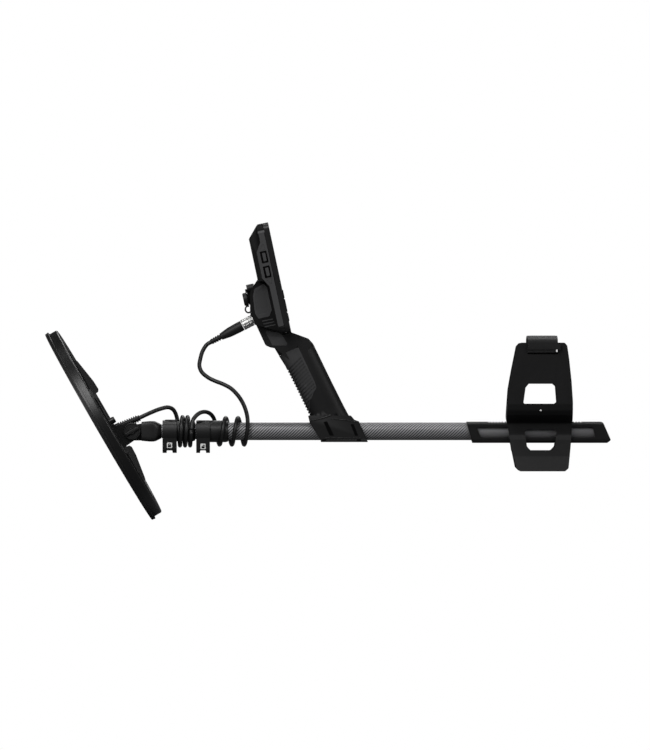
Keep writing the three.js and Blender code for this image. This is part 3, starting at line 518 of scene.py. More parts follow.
def finish(obj, name, space, body, look, edge=0.0, node=None, segments=None, limit=34):
    """Turns a shape into a piece that rides on a body; NODE_fine stands for the CAD node NODE."""
    soften(obj, edge, segments or (2 if edge < 0.5 else 3), limit)
    obj.data.transform(space)
    obj.name = name
    obj.data.name = name
    obj.data.materials.clear()
    obj.data.materials.append(LOOKS[look])
    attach(obj, body)
    node = node or name.removesuffix("_fine")
    if node in frame["nodes"]:
        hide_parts(node)
    return obj


# ------------------------------------------------------------------ camera
VIEW_CENTRE = (256.6, 74.9)
VIEW_WIDTH = 864.5
CAMERA_DISTANCE = 12000.0
SENSOR = 36.0


def make_camera():
    data = bpy.data.cameras.new("camera")
    data.sensor_fit = "HORIZONTAL"
    data.sensor_width = SENSOR
    data.lens = SENSOR * CAMERA_DISTANCE / VIEW_WIDTH
    data.clip_end = 100
    camera = bpy.data.objects.new("camera", data)
    scene.collection.objects.link(camera)
    at = SHAFT @ Vector((VIEW_CENTRE[0], -CAMERA_DISTANCE, VIEW_CENTRE[1]))
    upright = Matrix.Rotation(math.radians(90), 4, "X")
    camera.matrix_world = Matrix.Translation(at) @ Matrix.Rotation(STANCE, 4, "Y") @ upright
    scene.camera = camera


def area_light(name, towards, distance, size, power):
    """A soft box at the given distance in a direction of the shaft's frame, facing the detector."""
    data = bpy.data.lights.new(name, "AREA")
    data.shape = "RECTANGLE"
    data.size, data.size_y = size
    data.energy = power
    lamp = bpy.data.objects.new(name, data)
    scene.collection.objects.link(lamp)
    target = SHAFT @ Vector((VIEW_CENTRE[0], 0, VIEW_CENTRE[1]))
    direction = Vector(towards).normalized()
    lamp.location = target + direction * distance
    lamp.rotation_euler = (-direction).to_track_quat("-Z", "Y").to_euler()


LIGHTS = [
    ("key", (-0.04, -0.68, 0.73), 2.4, (2.4, 0.3), 20),
    ("above", (0.0, 0.1, 1.0), 2.4, (2.2, 0.6), 20),
    ("strip", (-0.34, -0.79, 0.52), 2.6, (0.3, 1.7), 26),
    ("front", (1.0, -0.9, 0.35), 3.2, (1.4, 0.8), 26),
    ("behind", (0.3, 0.9, 0.6), 2.6, (2.0, 0.8), 18),
    ("tail", (1.0, -0.35, -0.1), 2.6, (0.5, 1.0), 5),
]
FLOOR_HALF = 14.0


def make_studio():
    world = bpy.data.worlds.new("studio")
    scene.world = world
    world.use_nodes = True
    tree = world.node_tree
    background = next(n for n in tree.nodes if n.type == "BACKGROUND")
    seen = tree.nodes.new("ShaderNodeLightPath").outputs["Is Camera Ray"]
    strength = tree.nodes.new("ShaderNodeMapRange")
    tree.links.new(seen, strength.inputs[0])
    strength.inputs[3].default_value = 0.04
    strength.inputs[4].default_value = 1.0
    tree.links.new(strength.outputs[0], background.inputs["Strength"])
    background.inputs["Color"].default_value = (1, 1, 1, 1)
    for light in LIGHTS:
        area_light(*light)
    floor = bpy.data.objects.new("floor", bpy.data.meshes.new("floor"))
    bm = bmesh.new()
    corners = rect(-FLOOR_HALF, FLOOR_HALF, -FLOOR_HALF, FLOOR_HALF)
    bm.faces.new([bm.verts.new((x, y, 0)) for x, y in corners])
    bm.to_mesh(floor.data)
    bm.free()
    scene.collection.objects.link(floor)
    pale = Nodes("pale_floor")
    seen = pale.node("ShaderNodeLightPath").outputs["Is Camera Ray"]
    pale.finish(Base_Color=pale.mix(seen, grey(0.16), grey(0.0)), Roughness=1.0, Specular_IOR_Level=0.0)
    pale.finish(Emission_Color=(1, 1, 1, 1), Emission_Strength=seen)
    floor.data.materials.append(pale.material)
    scene.view_settings.view_transform = "Standard"
    scene.view_settings.look = "None"


# ------------------------------------------------------------------ the coil's cable
WRAP_R = 19.0
WRAP_UPPER_R = 17.8
BOOT = ((-25.2, 0, 3.8), (10.2, 0, 17.8))
ARCH = [
    (10.6, 0, 18.2),
    (18.5, 0.6, 22),
    (26.5, 2.2, 25.6),
    (35.5, 5, 29.2),
    (43.5, 8.6, 31.5),
    (49.5, 12, 31.6),
    (54.6, 15.4, 28.6),
    (57.8, 17.8, 23),
    (59.8, 18.9, 16),
    (61.6, WRAP_R, 8),
]
BRIDGE = [
    (79.6, -16.6, 8.4),
    (80.8, -14.4, 13.4),
    (83.2, -11.4, 18.2),
    (87.4, -8, 22.6),
    (92.6, -4, 25.4),
    (98.4, 1, 25.8),
    (103.8, 6, 23.4),
    (107.6, 10.6, 19),
    (109.8, 14.2, 13.4),
    (111.2, 16.6, 7.2),
]
RISER = [
    (153.4, -WRAP_UPPER_R, 1.4),
    (154, -17.6, 11.8),
    (152.8, -17, 22.6),
    (148.8, -16.2, 34.8),
    (142, -15, 46.4),
    (132.4, -13, 56.5),
    (121.6, -10.6, 62.6),
    (110.7, -8.4, 66.9),
    (101.2, -6.4, 71.6),
    (92.8, -4.6, 78.8),
    (89.6, -3, 87.2),
    (90.8, -1.8, 96.4),
    (93.2, -1, 105),
    (96.6, -0.4, 111.6),
    (100.4, 0, 116),
    (107.2, 0, 119.9),
]


def turns(x0, x1, radius, start, end, steps=20):
    """The wound cable's centre line: start and end are in turns, 0 at the top, going far side first."""
    count = int(abs(end - start) * steps)
    line = []
    for i in range(count + 1):
        t = i / count
        a = 2 * math.pi * (start + (end - start) * t)
        line.append(Vector((x0 + (x1 - x0) * t, radius * math.sin(a), radius * math.cos(a))))
    return line


def length_of(line):
    return sum((b - a).length for a, b in zip(line, line[1:]))


def cable_piece(
    name, line, nodes, body=None, blended=None, start=None
):
    """One stretch of the cable, swept along its centre line."""
    path = [SHAFT @ p for p in line]
    piece = sweep(line, CABLE_R, 16)
    piece.data.shade_smooth()
    piece.data.transform(SHAFT)
    piece.name = name
    piece.data.materials.append(LOOKS["cable_jacket"])
    if blended:
        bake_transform(piece)
    else:
        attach(piece, body)
    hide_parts(*nodes)
    tuple(SHAFT @ Vector(start)) if start else tuple(path[0])
    length_of(path)
    [tuple(p) for p in path]


def along_shaft(x):
    return SHAFT @ Vector((x, 0, 0))


def make_cable(boot):
    inside_boot = (7.3, 0, 16.65)
    rise = smooth_line([inside_boot] + ARCH[:5])
    fall = smooth_line([inside_boot] + ARCH)[len(rise) - 1 :]
    a0 = math.atan2(ARCH[-1][1], ARCH[-1][2]) / (2 * math.pi)
    wound = turns(ARCH[-1][0], 79.0, WRAP_R, a0, a0 + 2.58)
    cable_piece(
        "cable_from_coil",
        rise,
        [],
        blended=("coil", "lower_shaft", along_shaft(8), along_shaft(40)),
        start=BOOT[1],
    )
    cable_piece(
        "cable_to_lower_turns",
        fall + wound[1:],
        ["cable_arch", "cable_wraps_middle"],
        blended=("lower_shaft", "middle_shaft", along_shaft(44.5), along_shaft(50.5)),
    )
    cable_piece(
        "cable_bridge_loop",
        smooth_line([wound[-1]] + BRIDGE[1:]),
        ["cable_bridge"],
        blended=("middle_shaft", "shaft", along_shaft(89), along_shaft(101)),
    )
    b0 = math.atan2(BRIDGE[-1][1], BRIDGE[-1][2]) / (2 * math.pi)
    end = RISER[0]
    b1 = math.atan2(end[1], end[2]) / (2 * math.pi)
    upper = turns(BRIDGE[-1][0], end[0], WRAP_UPPER_R, b0, b1 + 3)
    cable_piece(
        "cable_turns_and_riser",
        upper + smooth_line(RISER)[1:],
        ["cable_wraps_upper", "cable_riser"],
        body="shaft",
    )


def make_boot():
    """The ribbed sleeve that the cable leaves the coil in."""
    line = Vector(BOOT[1]) - Vector(BOOT[0])
    profile = [(0, 0), (0, 4.6), (8, 4.6)]
    pitch = 3.1
    for i in range(9):
        x = 8.4 + pitch * i
        profile += [(x, 4.9), (x + 1.5, 4.9), (x + 1.7, 3.4), (x + 2.9, 3.4)]
    profile += [(line.length - 0.9, 4.2), (line.length, 3.9), (line.length, 0)]
    boot = lathe(profile, BOOT[0], line, 40)
    return finish(boot, "coil_boot", SHAFT, "coil", "black_rubber", 0.15, node="coil_cable_boot")


# ------------------------------------------------------------------ coil plug and socket
SOCKET_AT = Vector((159.5, 0, 147.5))
SOCKET_OUT = Vector((-0.884, 0, -0.466)).normalized()


def make_plug():
    def turned(profile, sides=64, closed=False):
        return lathe(profile, SOCKET_AT, SOCKET_OUT, sides, closed)

    flutes = 12
    nut = [
        (0.1, 4.9), (0.1, 6.9), (0.6, 7.2), (4.6, 7.2), (4.9, 6.75), (5.4, 6.75), (5.7, 7.2), (9.2, 7.2),
        (9.5, 6.75), (10, 6.75), (10.3, 7.2), (13.4, 7.2), (14.0, 6.8), (14.0, 4.9),
    ]
    grooved = turned(nut, flutes * 8)
    for v in grooved.data.vertices:
        out = v.co - SOCKET_AT
        spoke = out - SOCKET_OUT * out.dot(SOCKET_OUT)
        if spoke.length > 7:
            k = math.atan2(spoke.y, spoke.dot(SOCKET_OUT.cross(Vector((0, 1, 0)))))
            v.co -= spoke.normalized() * 0.4 * (1 if math.sin(flutes * k) > 0.2 else 0)
    nut = finish(grooved, "coupling_nut_fine", SHAFT, "plug_nut", "nickel")

    body = [
        (14.5, 0), (14.5, 6.6), (15, 6.9), (22, 6.9), (33, 6.55), (38, 5.9), (44, 4.9), (46.5, 4.6),
        (47, 3.3),
    ]
    for i in range(4):
        x = 48.6 + 3.3 * i
        body += [(x, 3.2), (x + 0.1, 4.2 - 0.15 * i), (x + 1.9, 4.1 - 0.15 * i), (x + 2.0, 3.1)]
    body += [(62, 2.95), (62, 0)]
    boot = finish(turned(body), "plug_boot_fine", SHAFT, "shaft", "black_rubber", 0.2, limit=50)
    flange = [(-2.9, 0), (-2.9, 7.4), (-2.6, 7.6), (-0.8, 7.6), (-0.4, 7.2), (-0.4, 4.6), (6, 4.6), (6, 0)]
    finish(turned(flange), "coil_socket_fine", SHAFT, "shaft", "nickel", 0.15, limit=50)
    tether_ring = rounded([(-3.6, 7.2), (-3.6, 9.4), (-1.9, 9.4), (-1.9, 7.2)], 0.6, 3)
    ring = turned(tether_ring, closed=True)
    finish(ring, "tether_ring", SHAFT, "shaft", "black_rubber")
    return [nut, boot]


# ------------------------------------------------------------------ search coil
COIL_CENTRE = -26.9
COIL_TOP = -19.2
HOUSING = 12.2
COIL_R = 139.7
RING = 18.5
SPINE_HALF = 23.0
SPOKE_AT, SPOKE_HALF = 42.0, 7.0
SKID_R, SKID_FLOOR, SKID_LIP, SKID_DEPTH = 143.0, 2.0, 4.8, 16.5
YOKE_R = 11.5
YOKE_Y = (8.2, 14.0)
YOKE_BASE = (-19.0, 13.4)


def rounded_strip(x0, x1, y0, y1, z0, z1, corner):
    return prism(rect(x0, x1, y0, y1, corner), z0, z1, "XY")


def coil_web(z0, z1, outer, inset, corner):
    inner = COIL_R - RING + inset
    c = corner
    section = rounded([(z0, inner), (z0, outer), (z1, outer, c), (z1, inner, c)], steps=5)
    ring = lathe(section, (COIL_CENTRE, 0, 0), (0, 0, 1), 180, closed=True)
    half = SPINE_HALF - inset
    reach = COIL_R - RING / 2
    spine = rounded_strip(COIL_CENTRE - reach, COIL_CENTRE + reach, -half, half, z0, z1, 0)
    spokes = []
    for s in (-SPOKE_AT, SPOKE_AT):
        x = COIL_CENTRE + s
        spokes.append(rounded_strip(x - SPOKE_HALF + inset, x + SPOKE_HALF - inset, -118, 118, z0, z1, 0))
    return join(ring, spine, *spokes)


def yoke_ear(side):
    def touch(x, z, sign):
        return math.atan2(z, x) + sign * math.acos(YOKE_R / math.hypot(x, z))

    low = COIL_TOP - 3
    first = touch(YOKE_BASE[1], COIL_TOP, 1)
    last = touch(YOKE_BASE[0], COIL_TOP, -1) + 2 * math.pi
    steps = 28
    outline = [(YOKE_BASE[0], low), (YOKE_BASE[1], low), (YOKE_BASE[1], COIL_TOP)]
    for i in range(steps + 1):
        a = first + (last - first) * i / steps
        outline.append((YOKE_R * math.cos(a), YOKE_R * math.sin(a)))
    outline.append((YOKE_BASE[0], COIL_TOP))
    y = YOKE_Y if side > 0 else (-YOKE_Y[1], -YOKE_Y[0])
    return prism(outline, *y)


def spine_fairing(sign):
    t = COIL_TOP
    steps = [(40.5, -1, 0), (41.2, 6.4, 1.5), (44.5, 8.4, 2.5), (57, 7.9, 6), (91, 2.6, 1.5), (93, -1, 0)]
    fairing = prism(rounded([(COIL_CENTRE + sign * s, t + h, r) for s, h, r in steps]), -15.5, 15.5)
    for v in fairing.data.vertices:
        if v.co.z > t:
            v.co.y *= 1 - 0.02 * (v.co.z - t)
    return fairing


def make_coil():
    bottom = COIL_TOP - HOUSING
    web = coil_web(bottom, COIL_TOP, COIL_R, 0, 2.0)
    hole = rod((0, -30, 0), (0, 30, 0), 4.2)
    lug = block(YOKE_BASE[0], YOKE_BASE[1], -14, 14, COIL_TOP - 2, COIL_TOP + 2.5)
    gland = [(-1, 0), (-1, 4.4), (5.6, 4.4), (7.5, 3.8), (7.5, 0)]
    gland = lathe(gland, (-25.5, 0, COIL_TOP), (0, 0, 1), 40)
    housing = join(web, lug, yoke_ear(1), yoke_ear(-1), spine_fairing(1), spine_fairing(-1), gland)
    boot_well = moved(rod((-25.5, 0, 3.68), (10.2, 0, 17.8), 4.9, 4.5), COIL.inverted() @ SHAFT)
    channels = []
    for side in (-1, 1):
        y = side * (SPINE_HALF - 3.2)
        x0, x1 = COIL_CENTRE - 122, COIL_CENTRE + 122
        channels.append(block(x0, x1, y - 0.5, y + 0.5, COIL_TOP - 0.5, COIL_TOP + 1))
    cut(housing, hole, boot_well, *channels)
    finish(housing, "coil_shell", COIL, "coil", "black_plastic", 0.7, node="coil_housing")

    groove = [(-9.0, COIL_R - 0.6), (-9.0, COIL_R + 0.12), (-8.4, COIL_R + 0.12), (-8.4, COIL_R - 0.6)]
    seam = lathe(groove, (COIL_CENTRE, 0, COIL_TOP), (0, 0, 1), 180, closed=True)
    finish(seam, "coil_parting_line", COIL, "coil", "soft_black")

    base = COIL_TOP - SKID_DEPTH
    floor = coil_web(base, base + SKID_FLOOR, SKID_R - 0.6, 0.6, 0.4)
    lip = [
        (base, COIL_R - 4), (base, SKID_R - 0.8, 1.6),
        (base + SKID_LIP, SKID_R, 0.6), (base + SKID_LIP, COIL_R + 0.3, 0.3),
        (base + SKID_FLOOR, COIL_R + 0.3), (base + SKID_FLOOR, COIL_R - 4),
    ]
    rim = lathe(rounded(lip, steps=4), (COIL_CENTRE, 0, 0), (0, 0, 1), 180, closed=True)
    finish(join(floor, rim), "skid_cover", COIL, "coil", "soft_black", 0.4, node="skid_plate")


def make_tilt_bolt():
    head = prism(rounded(oval(6, 6, 2, 6), 0.8, 2), YOKE_Y[1] + 0.3, YOKE_Y[1] + 4)
    shank = rod((0, -19.3, 0), (0, YOKE_Y[1] + 1, 0), 3.9)
    finish(join(head, shank), "tilt_bolt_fine", COIL, "coil", "soft_black", 0.5, segments=2)
    face = -YOKE_Y[1] - 0.3
    rim = [(0, 4.2), (0, 11.0), (0.4, 11.3), (2.8, 11.2), (3.4, 10.6), (3.4, 9.6), (2.8, 9.2), (2.8, 4.2)]
    rim = lathe(rim, (0, face, 0), (0, -1, 0), 120, closed=True)
    finish(rim, "thumb_nut_fine", COIL, "tilt_nut", "soft_black", node="tilt_thumb_nut")
    bar = prism(rect(-2.6, 2.6, -10, 10, 1.4), face - 6, face - 2.2)
    for v in bar.data.vertices:
        if v.co.y < face - 5:
            v.co.x *= 0.7
            v.co.z *= 0.96
    finish(bar, "thumb_nut_bar", COIL, "tilt_nut", "soft_black", 0.6)


# ------------------------------------------------------------------ shaft
def tube(node, x0, x1, r, bore, body):
    profile = rounded([(x0, bore), (x0, r, 0.3), (x1, r, 0.3), (x1, bore)], steps=2)
    finish(lathe(profile, sides=112, closed=True), f"{node}_fine", SHAFT, body, "carbon_tube")


def make_tubes():
    tube("lower_tube", 39.4, 575, LOWER_R, 8, "lower_shaft")
    tube("middle_tube", 44, 600, MIDDLE_R, 9.5, "middle_shaft")
    tube("upper_tube", 90, 620, UPPER_R, 10.75, "shaft")


def make_yoke_fitting():
    def station(x, half_y, half_z, power):
        return [(x, y, z) for y, z in oval(half_y, half_z, power, 64)]

    body = lofted(
        [
            station(12.7, 12.3, 12.6, 6),
            station(16, 12.5, 13.0, 6),
            station(24, 12.8, 13.7, 6),
            station(28.5, 12.5, 13.7, 5),
            station(31, 12.0, 13.2, 4.5),
            station(35, 10.6, 11.4, 3),
            station(39.1, LOWER_R, LOWER_R, 2),
        ]
    )
    channel = prism(rounded([(11, 10.0), (17.5, 11.5), (26, 12.4), (26, 20), (11, 20)], 0.5), -5.6, 5.6)
    tongue = [(16, -12.2), (16, 11.2)]
    for i in range(13):
        a = math.radians(102 + 98 * i / 12)
        tongue.append((7.8 * math.cos(a), 7.8 * math.sin(a)))
    for i in range(6):
        a = math.pi * (1.35 + 0.15 * i / 5)
        tongue.append((12.2 * math.cos(a), 12.2 * math.sin(a)))
    fitting = join(cut(body, channel), prism(tongue, -6.4, 6.4), rod((38, 0, 0), (58, 0, 0), 7.8, sides=64))
    cut(fitting, rod((0, -20, 0), (0, 20, 0), 4.2))
    finish(fitting, "yoke_fitting_fine", SHAFT, "lower_shaft", "soft_black", 0.6)


LOCKS = {
    "lower": {
        "x": 40.6, "wide": 19, "end": 84, "r": 13.3, "top": 15.6, "outer": MIDDLE_R, "front": 44,
        "inner": LOWER_R, "body": "middle_shaft", "label": -18.3,
    },
    "upper": {
        "x": 85.4, "wide": 18.3, "end": 128, "r": 14.5, "top": 14.7, "outer": UPPER_R, "front": 90,
        "inner": MIDDLE_R, "body": "shaft", "label": -19.9,
    },
}
COLLAR_R = 14.8
LEVER_IN, LEVER_OUT, LEVER_EAR = 15.4, 18.2, 6.9
PIN_Y, PIN_Z, PIN_R = -7.0, -21.8, 1.5
KNUCKLE_R, KNUCKLE_HALF = 3.6, 4.0


def pin_rod(x0, x1, r, sides=32):
    return rod((x0, PIN_Y, PIN_Z), (x1, PIN_Y, PIN_Z), r, sides=sides)


def make_lock_collar(name, lock):
    x, end, top = lock["x"], lock["x"] + lock["wide"], lock["top"]
    mid = (x + end) / 2
    half = KNUCKLE_HALF - 0.3
    barrel = rounded([(x, 5), (x, COLLAR_R, 0.8), (end, COLLAR_R, 0.8), (end, 5)], steps=3)
    barrel = lathe(barrel, sides=96, closed=True)
    bore = lock["outer"] + BORE_GAP
    sleeve = [
        (end - 1, bore), (end - 1, lock["r"]), (lock["end"] - 3, lock["r"], 1.5),
        (lock["end"], lock["r"] - 1.2, 0.6), (lock["end"], bore),
    ]
    sleeve = lathe(rounded(sleeve, steps=4), sides=96, closed=True)
    finish(sleeve, f"{name}_lock_sleeve", SHAFT, lock["body"], "soft_black")
    crown = [
        (x, 2), (x, top - 4.4, 1.2), (x + 3.6, top, 1.6),
        (end - 0.4, top, 0.3), (end, top - 0.6, 0.3), (end, 2),
    ]
    crown = prism(rounded(crown), -9.5, 9.5)
    for v in crown.data.vertices:
        if v.co.z > 9:
            v.co.y *= 1 - 0.035 * (v.co.z - 9)
    eye = pin_rod(mid - half, mid + half, KNUCKLE_R)
    knuckle = join(block(mid - half, mid + half, -10, -3.4, PIN_Z, -8), eye)
    made = join(barrel, crown, knuckle)
    grooves = []
    for i in range(3):
        gx = x + 8 + 3.2 * i
        grooves.append(block(gx, gx + 1.1, -7, 7, top - 0.7, top + 1))
    cut(
        made,
        shaft_bore(lock["front"] - 0.3, end + 1, lock["outer"]),
        shaft_bore(x - 1, end, lock["inner"]),
        block(x - 1, end + 1, 1, 3, -20, -5),
        pin_rod(x, end, PIN_R + 0.3),
        *grooves,
    )
    node = f"{name}_lock_collar"
    finish(made, f"{name}_collar_fine", SHAFT, lock["body"], "black_plastic", 0.45, node=node)
    pin = pin_rod(mid - 8, mid + 8, PIN_R - 0.15)
    finish(pin, f"{name}_pin_fine", SHAFT, lock["body"], "steel", 0.2, node=f"{name}_lock_pin")


def lever_section(inner, outer, up, down, steps=36):
    points = []
    for radius, a, b in ((outer, up, down), (inner, down, up)):
        for i in range(steps + 1):
            t = a + (b - a) * i / steps
            points.append((radius * math.cos(t), radius * math.sin(t)))
    return points


def make_lock_lever(name, lock):
    x0, x1 = lock["x"] + 0.1, lock["x"] + lock["wide"] - 0.1
    mid = (x0 + x1) / 2
    up = math.pi - math.asin(10.4 / LEVER_OUT)
    down = math.pi + math.asin(13.5 / LEVER_OUT)
    plate = prism(lever_section(LEVER_IN, LEVER_OUT, up, down), x0, x1, "YZ")
    web = [(-13.9, PIN_Z), (PIN_Y + 2, PIN_Z), (PIN_Y + 2, -15.8), (-9.2, -12.6), (-12.5, -9.4), (-15.8, -9)]
    foot = join(pin_rod(x0, x1, LEVER_EAR, 64), prism(web, x0, x1, "YZ"))
    lever = join(plate, foot)
    half = KNUCKLE_HALF
    arch = [(mid - half, -40), (mid + half, -40), (mid + half, -24, 3.6), (mid - half, -24, 3.6)]
    cut(
        lever,
        prism(rounded(arch), -30, 5),
        block(mid - half, mid + half, -11.4, 5, -40, -7.6),
        rod((x0 - 1, 0, 0), (x1 + 1, 0, 0), LEVER_IN, sides=112),
        pin_rod(x0 - 1, x1 + 1, PIN_R + 0.1),
    )
    finish(lever, f"{name}_lever_fine", SHAFT, f"{name}_lever", "soft_black", 0.5, node=f"{name}_lock_lever")
    make_lock_label(name, lock, mid)


LABEL_LEAN = math.atan2(1.9, 12.8)


def on_lever_front(obj, mid, z):
    """Moves a shape drawn about the origin, facing -Y, on to the lever's leaning front."""
    at = (mid, -13.9 - math.tan(LABEL_LEAN) * (z - PIN_Z), z)
    return moved(obj, Matrix.Translation(at) @ Matrix.Rotation(LABEL_LEAN, 4, "X"))


def make_lock_label(name, lock, mid):
    """A white tile with a padlock sign, on the lever's leaning front."""
    z = lock["label"]
    tile = prism(rect(-3.5, 3.5, -3.7, 3.7, 1.3), -0.35, 0.6)
    finish(on_lever_front(tile, mid, z), f"{name}_lock_label", SHAFT, f"{name}_lever", "label_white")
    body = prism(rect(-2.0, 2.0, -2.5, 0.3, 0.4), -0.6, 0)
    swung = 0.0 if name == "lower" else 1.2
    bow = []
    steps = 12
    for radius, order in ((1.7, range(steps + 1)), (0.95, range(steps, -1, -1))):
        for i in order:
            a = math.pi * i / steps
            bow.append((swung + radius * math.cos(a), 0.5 + radius * math.sin(a)))
    for sign, part in ((body, "body"), (prism(bow, -0.6, 0), "bow")):
        on_lever_front(sign, mid, z)
        finish(sign, f"{name}_lock_sign_{part}", SHAFT, f"{name}_lever", "deep_black")


# ------------------------------------------------------------------ grip
GRIP_STATIONS = [
    (8, 24.6, 16.5, -0.8),
    (16, 24.0, 16.4, -0.5),
    (24, 23.4, 16.2, -0.2),
    (34, 23.0, 16.0, 0),
    (70, 22.8, 16.6, 0),
    (108, 23.0, 16.2, 0),
    (126, 24.0, 16.0, -1),
    (150, 24.0, 16.0, -3),
]


def grip_loft(shrink):
    rings = []
    for z, depth, width, at in GRIP_STATIONS:
        rings.append([(x, y, z) for x, y in oval(depth - shrink, width - shrink, 3, 72, at)])
    return lofted(rings)


def in_shaft(obj, space):
    return moved(obj, SHAFT.inverted() @ space)


NECK_TOP = [
    (165.6, 140.1, 0.5), (167.4, 141.6, 0.5), (196.2, 134.6, 0.5), (197, 129.8, 0.5), (211.2, 131.9, 2),
    (234.6, 123.3, 4),
]
NECK = [
    (208, 96, 1), (194.4, 107.6, 3), (190.1, 110.4, 4), (183.5, 111.6, 4), (177.6, 114.2, 4), *NECK_TOP,
    (239, 118.6, 4), (228, 94, 1),
]
CLAMP = [
    (250.5, -11, 0.8), (312.4, -11, 1.5), (301.8, 13.2, 2), (296, 15.2, 2), (291, 21, 2), (234, 21, 1),
    (236.4, 11.2, 4),
]
NECK_PANEL = [(186.5, 113.8), (176.6, 134.4), (194, 131.4), (211.6, 128.4), (205.6, 114)]
NECK_NICKS = [(171.5, 134), (174, 128.6), (177, 123.2)]
CLAMP_RIDGES = [
    ([(236.8, 14.4), (244, 15.4), (252, 17.2), (259, 19.6), (265, 22)], 1.1),
    ([(264.8, 16.2), (275, 15.6), (287, 14.4), (299.5, 12.2)], 0.8),
    ([(256, -9), (270, -8.6), (290, -8.6), (303.5, -9)], 0.7),
]
# Outlines of near-black plates on the clamp's flanks: painted shade where the slanted slots and the screw
# notches would be, which are not cut.
CLAMP_SLOT_SHADES = [
    [(254.8, 12.2), (259.2, 13.6), (268.5, -5.6), (262.8, -5.6)],
    [(290.6, 9.6), (294.8, 9.6), (300.6, -5.6), (296.4, -5.6)],
    [(252, -12.9), (257.6, -12.9), (258.8, -10.3), (253.4, -10.3)],
    [(299, -12.9), (305, -12.9), (303.8, -10.3), (298.6, -10.3)],
]


def side_prism(outline, side, inner, outer):
    """A prism between two distances from the middle plane, on the given side."""
    return prism(outline, *sorted((side * inner, side * outer)))


def make_handle():
    neck = prism(rounded(NECK), -15.5, 15.5)
    body = join(prism(rounded(CLAMP), -17, 17), in_shaft(grip_loft(0), GRIP), neck)
    pod_seat = [(120, 140.1), *[p[:2] for p in NECK_TOP], (245, 112), (330, 112), (330, 260), (120, 260)]
    cut(body, prism(pod_seat, -60, 60), shaft_bore(150, 400, UPPER_R))
    for side, _ in SIDES:
        nicks = []
        for x, z in NECK_NICKS:
            nick = rounded([(x, z), (x + 4.2, z - 0.8), (x + 4.9, z - 3.2), (x + 0.9, z - 3)], 0.5)
            nicks.append(side_prism(nick, side, 14.8, 20))
        cut(body, *nicks)
    cut(body, cable_duct())
    cut(body, rubber_skin(0.25))
    for node, low, high in (("handle_left_half", 0.12, 80), ("handle_right_half", -80, -0.12)):
        half = common(copy_of(body), block(100, 400, low, high, -60, 260))
        finish(half, f"{node}_fine", SHAFT, "shaft", "cuff_black", 0.8)
    bpy.data.objects.remove(body)
    for side, name in SIDES:
        make_handle_details(side, name)
    make_rubber()
    make_clamp()


def cable_duct():
    """The inner cable's way from the pod down into the handle."""
    return rod((188, 0, 118), (204, 0, 137), 6)


def make_handle_details(side, name):
    flank = side_prism(rounded(NECK_PANEL, 2), side, 15.2, 15.9)
    finish(flank, f"neck_panel_{name}", SHAFT, "shaft", "grip_rubber", 0.3)
    for i, (line, thick) in enumerate(CLAMP_RIDGES):
        route = smooth_line([(x, side * 16.7, z) for x, z in line])
        finish(sweep(route, thick, 12), f"clamp_ridge_{name}_{i + 1}", SHAFT, "shaft", "black_plastic")
    # Painted shade: flush near-black plates stand for the clamp's shaded slots.
    for i, bar in enumerate(CLAMP_SLOT_SHADES):
        slot_shade = side_prism(bar, side, 16.2, 17.15)
        finish(slot_shade, f"clamp_inlay_{name}_{i + 1}", SHAFT, "shaft", "deep_black")


def rubber_skin(grow):
    """The overmould's volume: a skin over the front of the grip, with a pointed rear edge."""
    skin = grip_loft(-0.35 - grow)
    cut(skin, grip_loft(1.8 + grow))
    edge = [
        (-60, 36 - grow), (-22, 36 - grow, 2), (-15, 51, 6), (1.6 + grow, 64.5, 3), (2.6 + grow, 72, 3),
        (3.4 + grow, 123, 2), (-12, 124 + grow, 2), (-60, 122 + grow),
    ]
    common(skin, prism(rounded(edge), -30, 30))
    return in_shaft(skin, GRIP)


RIBS, RIB_PITCH, FIRST_RIB = 16, 4.3, 44
RIB_LEAN = Matrix.Rotation(math.radians(-18), 4, "Y")


def make_rubber():
    skin = rubber_skin(0)
    shell = in_shaft(grip_loft(0.7), GRIP)
    ribs = []
    for i in range(RIBS):
        rib = moved(block(-40, 0.5, -30, 30, -0.9, 0.9), RIB_LEAN)
        moved(rib, Matrix.Translation((0, 0, FIRST_RIB + RIB_PITCH * i)))
        ribs.append(cut(in_shaft(rib, GRIP), copy_of(shell)))
    bpy.data.objects.remove(shell)
    cut(skin, *ribs)
    finish(skin, "rubber_grip_fine", SHAFT, "shaft", "grip_rubber", 0.2)


SCREW_X, SCREW_Y = 282, 13.9


def make_clamp():
    cap = prism(rounded([(251.2, -14.2), (313.8, -14.2), (312.4, -11.3), (250.6, -11.3)], 0.6), -17, 17)
    wells = [rod((SCREW_X, y, -16), (SCREW_X, y, -12.1), 2.7) for y in (-SCREW_Y, SCREW_Y)]
    cut(cap, shaft_bore(200, 400, UPPER_R), *wells)
    finish(cap, "clamp_cap_fine", SHAFT, "shaft", "soft_black", 0.4)
    profile = [(0, 0), (0, 2.1), (0.3, 2.4), (1.8, 2.4), (1.8, 1.6), (11, 1.6), (11, 0)]
    for i, y in enumerate((-SCREW_Y, SCREW_Y)):
        head = lathe(profile, (SCREW_X, y, -14), (0, 0, 1), 40)
        cut(head, moved(prism(oval(1.2, 1.2, 2, 6), -15, -13, "XY"), Matrix.Translation((SCREW_X, y, 0))))
        finish(head, f"clamp_screw_{i + 1}_fine", SHAFT, "shaft", "steel", 0.15)


